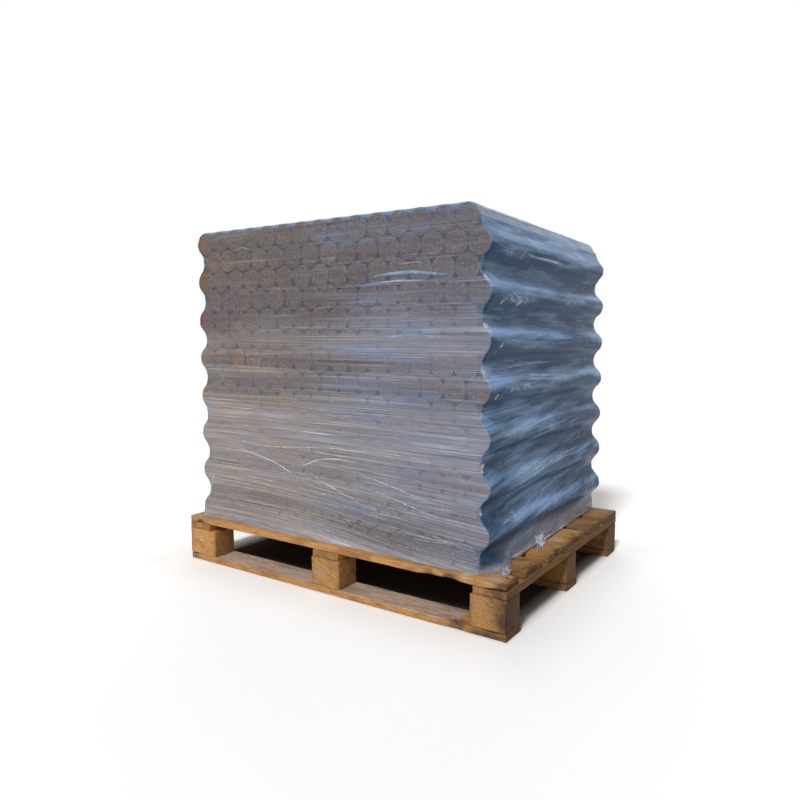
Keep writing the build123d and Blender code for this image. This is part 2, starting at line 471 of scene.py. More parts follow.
def boxSurface(lines):
    # Vertices on the six sides of a box cut by three lists of lines, and its faces
    index, points, faces = {}, [], []

    def vertex(i, j, k):
        key = (i, j, k)
        if key not in index:
            index[key] = len(points)
            points.append((lines[0][i], lines[1][j], lines[2][k]))
        return index[key]

    sizes = [len(l) - 1 for l in lines]
    for axis in range(3):
        a, b = (axis + 1) % 3, (axis + 2) % 3
        for end in (0, sizes[axis]):
            for p in range(sizes[a]):
                for q in range(sizes[b]):
                    corners = []
                    for dp, dq in ((0, 0), (1, 0), (1, 1), (0, 1)):
                        at = [0, 0, 0]
                        at[axis], at[a], at[b] = end, p + dp, q + dq
                        corners.append(vertex(*at))
                    faces.append(corners if end else corners[::-1])
    return np.array(points), faces


def makeBoard(node, along, seed, bruises=()):
    # A board or block that runs along axis 0 or 1; bruises are (place, reach, depth) in metres
    low, high = (np.array(v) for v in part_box(node))
    rng = np.random.default_rng(seed)
    edge = 2.5 * mm
    lines = [gridLines(low[i], high[i], board["step"], edge) for i in range(3)]
    points, faces = boxSurface(lines)
    rest = points.copy()
    middle = (low + high) / 2
    outward = np.sign(points - middle) * (np.minimum(points - low, high - points) < 1e-6)
    sides = np.abs(outward).sum(axis=1)
    run = points[:, along]
    cross = points[:, 1 - along] * 3 + points[:, 2] * 5
    rub = valueNoise(run * 45, cross * 9 + seed, seed) ** 1.5
    rubbed = board["edgeWear"][0] + (board["edgeWear"][1] - board["edgeWear"][0]) * rub
    points -= outward * (rubbed * (sides > 1))[:, None]
    dip = valueNoise(run * 22 + seed, cross * 30, seed + 7) * board["faceWear"]
    points -= outward * (dip * (sides == 1))[:, None]
    # Ends: each board cut a little short, and not quite square
    wear = np.clip(0.9 - 26 * np.minimum(run - low[along], high[along] - run), 0, 1) * 0.75
    wear = np.maximum(wear, (sides > 1) * 0.55)
    for sign in (-1, 1):
        end = low[along] if sign < 0 else high[along]
        near = smoothStep(30 * mm, 0, np.abs(run - end))
        cut = board["endCut"] * rng.random() * (0.6 + 0.4 * valueNoise(cross * 20, 0.0, seed + 3))
        points[:, along] -= sign * near * cut
    for place, reach, depth in bruises:
        distance = np.linalg.norm(rest - np.array(place), axis=1)
        hit = smoothStep(reach, 0, distance) * (0.5 + valueNoise(cross * 60, run * 25, seed + 5))
        points -= outward * (hit * depth)[:, None]
        wear = np.maximum(wear, hit * 1.2)
    piece = meshPiece(node + "_worn", points, faces, sawnSpruce, smooth=False)
    order = [along, 1 - along, 2]
    offset = np.array([rng.random() * 9, (rng.random() - 0.5) * 0.12, 0.03 + rng.random() * 0.05])
    local = (rest - middle)[:, order]
    # The log wasn't quite straight, so its rings run out through the faces in long arcs
    tilt = rng.normal(0, 0.16 if node.startswith("block") else 0.022, 2)
    local[:, 1:] += local[:, :1] * tilt
    paint(piece, "grain", "FLOAT_VECTOR", local + offset)
    paint(piece, "wear", "FLOAT", wear)
    paint(piece, "figure", "FLOAT", np.full(len(points), board["figure"][node.split("_")[0]]))
    tone = board["toneRange"][0] + rng.random() * (board["toneRange"][1] - board["toneRange"][0])
    tone *= board["toneShare"].get(node, 1.0)
    # The right end of the pallet is darker, its end faces most of all: painted shade, with some dirt
    shadeAndDirt = smoothStep(0.36, 0.56, rest[:, 0]) * smoothStep(-0.39, -0.30, rest[:, 1]) * board["rightShadeAndDirt"]
    shadeAndDirt *= board["rightShadeShare"].get(node, 1.0)
    shadeAndDirt *= 0.75 + 0.5 * valueNoise(rest[:, 1] / 0.05 + seed, rest[:, 0] / 0.04, 9)
    onEnd = rest[:, 0] > board["endFaceFrom"]
    shadeAndDirt = np.maximum(shadeAndDirt, onEnd * board["endFaceShade"])
    rightEndDarkening = board["rightEndDarkening"] * (board["frontCornerShare"] if node == "deck_board_1" else 1.0)
    shadeAndDirt = np.maximum(shadeAndDirt, smoothStep(0.515, 0.598, rest[:, 0]) * rightEndDarkening)
    if node == "bottom_board_front":
        shadeAndDirt = np.maximum(shadeAndDirt, smoothStep(0.36, 0.58, rest[:, 0]) * board["lowFrontDirt"])
    # Tops of the bottom boards are paler and greyer: dust lies on them
    dusty = node.startswith("bottom") * (rest[:, 2] > high[2] - 1e-5) * (rest[:, 0] < 0.45)
    # The tone holds each piece's own tone, darkened at the right end by painted shade and dirt
    paint(piece, "tone", "FLOAT", tone * (1 - shadeAndDirt))
    paint(piece, "warmth", "FLOAT", 1.0 - board["dustGrey"] * dusty + board["endWarmth"] * onEnd)
    fresh = np.zeros(len(rest))
    for *place, reach in board["wounds"]:
        fresh = np.maximum(fresh, smoothStep(reach, 0, np.linalg.norm(rest - np.array(place), axis=1)))
    paint(piece, "fresh", "FLOAT", fresh)
    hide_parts(node)
    return piece


def makePallet():
    nodes = sorted(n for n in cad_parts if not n.startswith(("log_row", "film")))
    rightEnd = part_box("deck_board_1")[1][0]
    bruises = {
        "deck_board_1": [((rightEnd, -0.4, 0.125), 0.075, 0.007), ((rightEnd, -0.34, 0.144), 0.05, 0.005),
                         ((-0.28, -0.4, 0.125), 0.030, 0.005), ((0.37, -0.4, 0.125), 0.035, 0.006),
                         ((0.43, -0.4, 0.125), 0.045, 0.007), ((-0.55, -0.4, 0.125), 0.03, 0.003)],
        "deck_board_3": [((rightEnd, -0.09, 0.144), 0.04, 0.010)],
        "deck_board_2": [((rightEnd, -0.25, 0.144), 0.05, 0.006), ((0.550, -0.215, 0.144), 0.022, 0.001)],
        "deck_board_4": [((rightEnd, 0.04, 0.144), 0.05, 0.006)],
        "block_front_right": [((rightEnd, -0.4, 0.09), 0.03, 0.004), ((0.595, -0.4, 0.05), 0.06, 0.0008)],
        "bottom_board_front": [((rightEnd - 0.15, -0.4, 0.02), 0.05, 0.006),
                               ((0.55, -0.4, 0.01), 0.09, 0.001), ((-0.58, -0.4, 0.01), 0.06, 0.001)],
        "cross_board_right": [((0.56, -0.4, 0.12), 0.07, 0.002)],
    }
    for number, node in enumerate(nodes):
        along = 1 if node.startswith("cross") else 0
        makeBoard(node, along, 100 + number, bruises.get(node, ()))
    print("pallet:", len(nodes), "boards and blocks")


makePallet()


# Nails through the deck boards into the cross boards

nail = {
    "boards": 6,
    "places": (0.28, 0.72),  # two nails at each crossing, as shares of its sides
    "headRadius": 3.2 * mm,
    "headHeight": 0.5 * mm,
    "sides": 8,
}


def makeNails():
    rng = np.random.default_rng(5)
    points, faces = [], []
    for number in range(1, nail["boards"] + 1):
        low, high = (Vector(v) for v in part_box(f"deck_board_{number}"))
        for side in ("left", "middle", "right"):
            crossLow, crossHigh = (Vector(v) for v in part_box(f"cross_board_{side}"))
            for share in nail["places"]:
                x = crossLow.x + (crossHigh.x - crossLow.x) * (share + (rng.random() - 0.5) * 0.15)
                y = low.y + (high.y - low.y) * (share + (rng.random() - 0.5) * 0.2)
                start = len(points)
                for ring, (radius, lift) in enumerate(((1.0, -0.8), (1.0, 0.0), (0.75, 1.0))):
                    for k in range(nail["sides"]):
                        turn = 2 * math.pi * k / nail["sides"]
                        points.append((x + nail["headRadius"] * radius * math.cos(turn),
                                       y + nail["headRadius"] * radius * math.sin(turn),
                                       high.z - 0.3 * mm + nail["headHeight"] * lift))
                for ring in range(2):
                    for k in range(nail["sides"]):
                        a = start + ring * nail["sides"] + k
                        b = start + ring * nail["sides"] + (k + 1) % nail["sides"]
                        faces.append((a, b, b + nail["sides"], a + nail["sides"]))
                faces.append(tuple(start + 2 * nail["sides"] + k for k in range(nail["sides"])))
    meshPiece("deck_nails", points, faces, nailSteel)
    print("nails done")


makeNails()


# Logs, turned round bars whose ends differ a little in depth

log = {
    "sides": 36,
    "radius": 35 * mm,
    "count": 15,  # in a row
    "rows": 15,
    "pitch": 70.3 * mm,
    "groupSize": 5,
    "groupGap": 1.5 * mm,
    "edgeRound": 2.2 * mm,
    "endPlaces": 6,  # places of the profile on an end face and its rounded edge
    "dimpleRadius": 4.5 * mm,
    "dimpleDepth": 3.0 * mm,
    "dimpleShare": 0.3,  # how many show the hole left by the press screw
    "endSpread": 4.0 * mm,  # how far an end may stand back from the foremost ones
    "jointGroove": 1.2 * mm,  # where two bars meet end to end, a third of the way and two thirds
    # Bars of another batch of sawdust: row and place in it, with how warm and how pale each is
    "odd": {(1, 0): (1.0, 0.84), (3, 0): (1.0, 0.88), (5, 0): (0.8, 0.8), (7, 2): (0.30, 1.50),
            (7, 3): (0.26, 1.42), (9, 3): (0.05, 1.2)},
    "brownEdge": (-0.504, -0.534),  # metres; the outermost bars turn brown towards their outer side
}


def logProfile(front, back, dimple):
    # (distance along Y, radius) from the front centre to the back centre
    r, e, g = log["radius"], log["edgeRound"], log["jointGroove"]
    depth = log["dimpleDepth"] if dimple else 0.15 * mm
    profile = [(front + depth, 0.0), (front + depth, log["dimpleRadius"] * 0.7),
               (front, log["dimpleRadius"]), (front, r * 0.55), (front, r - e),
               (front + e * 0.3, r - e * 0.3), (front + e, r)]
    for share in (1 / 3, 2 / 3):
        at = front + (back - front) * share
        profile += [(at - 2 * g, r), (at, r - g), (at + 2 * g, r)]
    profile += [(back - e, r), (back - e * 0.3, r - e * 0.3), (back, r - e), (back, r * 0.55),
                (back, 0.0)]
    return profile


def makeLogRow(number):
    node = f"log_row_{number:02d}"
    low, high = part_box(node)
    rng = np.random.default_rng(300 + number)
    z = (low[2] + high[2]) / 2
    points, faces, rings, tones, sideness, warmth = [], [], [], [], [], []
    for index in range(log["count"]):
        x = low[0] + log["radius"] + index * log["pitch"] + (index // log["groupSize"]) * log["groupGap"]
        front = low[1] + log["endSpread"] * rng.random() ** 1.6
        back = high[1] - log["endSpread"] * rng.random() ** 1.6
        profile = logProfile(front, back, rng.random() < log["dimpleShare"])
        tone = 0.86 + 0.26 * rng.random()
        warm, pale = log["odd"].get((number, index), (0.0, 1.0))
        turn0 = rng.random()
        angles = (np.arange(log["sides"]) / log["sides"] + turn0) * 2 * math.pi
        rows = []
        for step, (y, radius) in enumerate(profile):
            if radius == 0.0:
                rows.append([len(points)])
                points.append((x, y, z))
            else:
                rows.append(list(range(len(points), len(points) + log["sides"])))
                points += [(x + radius * math.cos(t), y, z + radius * math.sin(t)) for t in angles]
            onSide = 1.0 if log["endPlaces"] <= step <= len(profile) - log["endPlaces"] else 0.0
            rings += [radius] * len(rows[-1])
            sideness += [onSide] * len(rows[-1])
            tones += [tone * pale] * len(rows[-1])
            outer = smoothStep(*log["brownEdge"], np.array([points[k][0] for k in rows[-1]]))
            warmth += list(warm * outer) if index == 0 else [warm] * len(rows[-1])
        for a, b in zip(rows, rows[1:]):
            for k in range(log["sides"]):
                n = (k + 1) % log["sides"]
                if len(a) == 1:
                    faces.append((a[0], b[k], b[n]))
                elif len(b) == 1:
                    faces.append((a[k], b[0], a[n]))
                else:
                    faces.append((a[k], b[k], b[n], a[n]))
    piece = meshPiece(node + "_bars", points, faces, pressedSawdust)
    paint(piece, "ring", "FLOAT", rings)
    paint(piece, "tone", "FLOAT", tones)
    paint(piece, "side", "FLOAT", sideness)
    paint(piece, "warm", "FLOAT", warmth)
    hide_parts(node)


for rowNumber in range(1, log["rows"] + 1):
    makeLogRow(rowNumber)
print("logs done")


# Stretch film

film = {
    "offset": 0.8 * mm,  # from the logs
    "hollowDepth": (25 * mm, 33 * mm),  # between the logs that stand out at the sides
    "cornerRadius": 7 * mm,
    "topEdgeRadius": 6 * mm,
    "columnStep": 8.0 * mm,
    "nominalWidth": 1.06,  # metres, the width for which the columns on the front are spread
    "rowsPerLog": 10,
    "footLines": 10,  # mesh lines below the axes of the lowest row
    "footBunching": 1.6,  # how much closer those lines get near the deck
    "measuredLine": 60,  # the mesh line along which the distance round the load is measured
    "straightAbove": 13,  # from this level up the right side runs straight to the top row
    "crumple": (4 * mm, 8 * mm),  # at the foot, everywhere and added by the near corner
    "flareHeight": 22 * mm,
    "nearFootX": 0.504,  # beyond this X the foot is drawn out over the deck
    "straightSag": 5 * mm,  # of that straight part
    "topSag": 1.3 * mm,  # between two logs of the top row
    "topSheen": 0.6,
    "endDent": 2.2 * mm,  # where it is drawn in between the log ends
    "hemFront": 8 * mm,
    "hemBack": 2 * mm,
    "footFlare": 2 * mm,
    # Where the foot meets the deck on the right: Y and X
    "footLine": ((-0.380, 0.503), (-0.350, 0.522), (-0.318, 0.546), (-0.285, 0.543), (-0.237, 0.525),
                 (-0.160, 0.521), (-0.081, 0.528), (0.000, 0.525), (0.084, 0.522), (0.250, 0.516),
                 (0.400, 0.510)),
}

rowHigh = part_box("log_row_01")
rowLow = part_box("log_row_15")
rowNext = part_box("log_row_14")
logR = log["radius"]
loadFront, loadBack = rowLow[0][1], rowLow[1][1]
rowPitch = rowNext[0][2] - rowLow[0][2]
lowZ = rowLow[0][2] + logR
topAxis = rowHigh[0][2] + logR
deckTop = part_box("deck_board_1")[1][2]
filmR = logR + film["offset"]
tangent = math.radians(30)
# Levels are counted from 0 at the bottom; the odd ones stand out on the right
oddLevels = np.arange(1, log["rows"] - 1, 2)
evenLevels = np.arange(0, log["rows"], 2)
rightAxis = rowNext[1][0] - logR
leftAxis = rowLow[0][0] + logR
topRightAxis = rowHigh[1][0] - logR
topLeftAxis = rowHigh[0][0] + logR

filmLook = {
    "streakWidth": 2.7,  # mm; the lines that stretching draws are finer, too fine to show
    "streakLength": 400.0,  # mm
    "broadWidth": 13.0,  # mm, bands where turns of film lie over each other
    "broadLength": 800.0,  # mm
    "patchWidth": 24.0,  # mm, patches of sheen between creases on the sides
    "patchLength": 170.0,  # mm
    "creaseWidth": 4.0,  # mm
    "creaseLength": 45.0,  # mm
    "gap": "#285d80",  # the sheen shows blue over the dark hollows between the log ends
    "gapCover": 0.66,
    "rim": "#b9b2b0",  # where it is drawn tight over a log's rim
    "sides": ((0.25, "#234161"), (0.37, "#304e6d"), (0.43, "#4b6783"), (0.56, "#5b7899"),
              (0.74, "#7d9ac2")),
    # pale of the crumples: partly milky film, partly a painted glint
    "crumpleGlint": "#b0aaa6",
    "wisp": "#9fb2c8",
}


def logDistance(tree, place):
    # Distance from the nearest log's axis, by wrapping space into cells of the two nested grids
    pitch = (rightAxis - leftAxis - log["pitch"] / 2) / (log["count"] - 1)
    flat = addNode(tree, "VectorMath", {0: place, 1: (1, 0, 1)}, operation="MULTIPLY")
    distances = []
    for level in (0, 1):
        first = (leftAxis + level * log["pitch"] / 2, 0, lowZ + level * rowPitch)
        moved = addNode(tree, "VectorMath", {0: flat, 1: first}, operation="SUBTRACT")
        wrapped = addNode(tree, "VectorMath", {0: moved, 1: (pitch / 2, 1, rowPitch),
                                               2: (-pitch / 2, -1, -rowPitch)}, operation="WRAP")
        length = addNode(tree, "VectorMath", {0: wrapped}, operation="LENGTH")
        distances.append(length.outputs["Value"])
    return addNode(tree, "Math", {0: distances[0], 1: distances[1]}, operation="MINIMUM")


def pullNoise(tree, pull, width, length, **settings):
    # Noise drawn out along the pull; width and length in millimetres
    scale = (1 / (filmLook[length] * mm), 1 / (filmLook[width] * mm), 1)
    stretched = addNode(tree, "Mapping", {"Vector": pull, "Scale": scale})
    inputs = {"Vector": stretched, "Scale": 1.0, **settings}
    return addNode(tree, "TexNoise", inputs).outputs["Fac"]


def makeStretchFilm():
    # Cast polythene stretch film, several turns: clear and glossy where it lies flat, milky where
    # it was drawn out or creased, with fine lines along the pull.
    material, tree = startMaterial("Polythene stretch film, drawn and creased")
    pull = addNode(tree, "Attribute", attribute_name="pull").outputs["Vector"]
    tint = addNode(tree, "Attribute", attribute_name="tint").outputs["Color"]
    haze, hollow, side, sheen, crumpleGlint, wisp, slope = (
        addNode(tree, "Attribute", attribute_name=name).outputs["Fac"]
        for name in ("haze", "hollow", "side", "sheen", "crumpleGlint", "wisp", "slope"))
    place = addNode(tree, "TexCoord").outputs["Object"]
    fine = pullNoise(tree, pull, "streakWidth", "streakLength", Detail=3.0, Roughness=0.6)
    broad = pullNoise(tree, pull, "broadWidth", "broadLength", Detail=2.0)
    patch = pullNoise(tree, pull, "patchWidth", "patchLength", Detail=4.0, Roughness=0.6)
    crease = pullNoise(tree, pull, "creaseWidth", "creaseLength", Detail=3.0)

    fineTone = addNode(tree, "MapRange", {"Value": fine, "From Min": 0.35, "From Max": 0.68,
                                          "To Min": -0.17, "To Max": 0.26})
    broadTone = addNode(tree, "MapRange", {"Value": broad, "From Min": 0.3, "From Max": 0.7,
                                           "To Min": -0.14, "To Max": 0.14})
    # The fine lines come and go
    busy = addNode(tree, "MapRange", {"Value": patch, "From Min": 0.36, "From Max": 0.64,
                                      "To Min": 0.2, "To Max": 1.25})
    fineTone = addNode(tree, "Math", {0: fineTone, 1: busy}, operation="MULTIPLY")
    both = addNode(tree, "Math", {0: fineTone, 1: broadTone}, operation="ADD")
    cover = addNode(tree, "Math", {0: haze, 1: both}, operation="ADD", use_clamp=True)
    lighter = addNode(tree, "MapRange", {"Value": fine, "From Min": 0.4, "From Max": 0.74,
                                         "To Min": -0.15, "To Max": 0.50})
    lighter = addNode(tree, "Math", {0: lighter, 1: busy, 2: 1.0}, operation="MULTIPLY_ADD")
    coloured = addNode(tree, "HueSaturation", {"Color": tint, "Value": lighter})

    # Blue hollows and pale rims at the log ends
    distance = logDistance(tree, place)
    inGap = addNode(tree, "MapRange", {"Value": distance, "From Min": logR + 0.2 * mm,
                                       "From Max": logR + 2.5 * mm})
    gap = addNode(tree, "Math", {0: inGap, 1: hollow}, operation="MULTIPLY")
    offRim = addNode(tree, "Math", {0: distance, 1: logR - 1.6 * mm}, operation="SUBTRACT")
    offRim = addNode(tree, "Math", {0: offRim}, operation="ABSOLUTE")
    rimLine = addNode(tree, "MapRange", {"Value": offRim, "From Min": 0.4 * mm,
                                         "From Max": 1.6 * mm, "To Min": 0.5, "To Max": 0.0})
    rimPatch = addNode(tree, "TexNoise", {"Vector": place, "Scale": 26.0, "Detail": 2.0})
    rimWhere = addNode(tree, "MapRange", {"Value": rimPatch.outputs["Fac"], "From Min": 0.50,
                                          "From Max": 0.62})
    rim = addNode(tree, "Math", {0: rimLine, 1: rimWhere}, operation="MULTIPLY")
    rim = addNode(tree, "Math", {0: rim, 1: hollow}, operation="MULTIPLY")
    gapped = addNode(tree, "MixRGB", {0: gap, 1: coloured, 2: linear(filmLook["gap"])})
    rimmed = addNode(tree, "MixRGB", {0: rim, 1: gapped, 2: linear(filmLook["rim"])})
    gapCover = addNode(tree, "Mix", {"Factor": gap, "A": cover, "B": filmLook["gapCover"]})
    rimCover = addNode(tree, "Math", {0: rim, 1: 0.5, 2: gapCover},
                       operation="MULTIPLY_ADD", use_clamp=True)

    # Sheen on the sides: pale on slopes that face the sky, dark below, with ragged edges
    patchTone = addNode(tree, "Math", {0: patch, 1: 1.2, 2: -0.60}, operation="MULTIPLY_ADD")
    lineTone = addNode(tree, "Math", {0: fine, 1: 0.5}, operation="SUBTRACT")
    lineTone = addNode(tree, "Math", {0: lineTone, 1: slope}, operation="MULTIPLY")
    level = addNode(tree, "Math", {0: patchTone, 1: lineTone}, operation="ADD")
    level = addNode(tree, "Math", {0: level, 1: sheen}, operation="ADD")
    sideRamp = addNode(tree, "ValToRGB", {0: level}, stops=filmLook["sides"])
    sided = addNode(tree, "MixRGB", {0: side, 1: rimmed, 2: sideRamp})
    # Wisps: thin curled lines of film that was rucked up
    curl = addNode(tree, "Mapping", {"Vector": place, "Scale": (1, 0.55, 1)})
    curl = addNode(tree, "TexNoise", {"Vector": curl, "Scale": 19.0, "Detail": 4.0,
                                      "Roughness": 0.58, "Distortion": 0.9})
    offLine = addNode(tree, "Math", {0: curl.outputs["Fac"], 1: 0.5}, operation="SUBTRACT")
    offLine = addNode(tree, "Math", {0: offLine}, operation="ABSOLUTE")
    wispLine = addNode(tree, "MapRange", {"Value": offLine, "From Min": 0.002,
                                          "From Max": 0.030, "To Min": 0.8, "To Max": 0.14},
                       interpolation_type="SMOOTHSTEP")
    wisps = addNode(tree, "Math", {0: wispLine, 1: wisp}, operation="MULTIPLY", use_clamp=True)
    sided = addNode(tree, "MixRGB", {0: wisps, 1: sided, 2: linear(filmLook["wisp"])})
    # Pale crumples where the film is bunched: partly milky film, partly painted glints on it
    torn = addNode(tree, "TexNoise", {"Vector": place, "Scale": 130.0, "Detail": 3.0})
    torn = addNode(tree, "Math", {0: torn.outputs["Fac"], 1: 2.4, 2: -1.2}, operation="MULTIPLY_ADD")
    torn = addNode(tree, "Math", {0: torn, 1: crumpleGlint}, operation="ADD")
    torn = addNode(tree, "MapRange", {"Value": torn, "From Min": 0.45, "From Max": 0.65})
    bunched = addNode(tree, "MixRGB", {0: torn, 1: sided, 2: linear(filmLook["crumpleGlint"])})

    height = addNode(tree, "Math", {0: fine, 1: broad}, operation="ADD")
    sideHeight = addNode(tree, "Math", {0: patch, 1: crease}, operation="ADD")
    height = addNode(tree, "Mix", {"Factor": side, "A": height, "B": sideHeight})
    bump = addNode(tree, "Bump", {"Height": height, "Strength": 0.45, "Distance": 0.0014})
    # The sides are seen at a low angle, where the full reflection would hide their colour
    gloss = addNode(tree, "MapRange", {"Value": side, "To Min": 0.2, "To Max": 0.11})
    shader = addNode(tree, "BsdfPrincipled", {"Base Color": bunched, "Roughness": 0.30,
                                              "IOR": 1.5, "Alpha": rimCover,
                                              "Specular IOR Level": gloss,
                                              "Normal": bump})
    addNode(tree, "OutputMaterial", {"Surface": shader})
    return material


stretchFilm = makeStretchFilm()


def sideReach(z, standingLevels, depth):
    # How far out from the standing logs' axes the film runs at a height: round those logs, then
    # round in the hollows between them, which are as deep as given
    axes = lowZ + standingLevels * rowPitch
    gap = np.abs(z[..., None] - axes).min(axis=-1)
    turn = 2 * np.arctan(depth / rowPitch)
    hollowR = rowPitch / np.sin(turn) - filmR
    onLog = np.sqrt(np.maximum(filmR ** 2 - gap ** 2, 0))
    inHollow = (filmR + hollowR) * np.cos(turn)
    inHollow -= np.sqrt(np.maximum(hollowR ** 2 - np.maximum(rowPitch - gap, 0) ** 2, 0))
    return np.where(gap < filmR * np.sin(turn), onLog, inHollow)


def gradedLines(low, high, step, nearEdge):
    inner = np.linspace(low + nearEdge[-1], high - nearEdge[-1],
                        int(round((high - low - 2 * nearEdge[-1]) / step)) + 1)
    edge = np.array(nearEdge[:-1])
    return np.concatenate(([low], low + edge, inner, high - edge[::-1], [high]))


def topHeight(x, y):
    # The film's height over the top row, rounded over the end logs and the log ends
    beyond = np.maximum(np.maximum(x - topRightAxis, topLeftAxis - x), 0)
    z = topAxis + np.sqrt(np.maximum(filmR ** 2 - beyond ** 2, 0))
    slope = topAxis + (filmR - beyond * math.cos(tangent)) / math.sin(tangent)
    z = np.where(x > topRightAxis + filmR * math.cos(tangent), slope, z)
    phase = (x - topLeftAxis) / log["pitch"]
    hollow = np.abs(np.sin(math.pi * phase)) ** 1.5
    z -= film["topSag"] * hollow * (beyond < 1e-9)
    r = film["topEdgeRadius"]
    inFront = np.clip(np.minimum(y - (loadFront - film["offset"]), loadBack + film["offset"] - y), 0, r)
    z -= r - np.sqrt(np.maximum(r * r - (r - inFront) ** 2, 0))
    return z


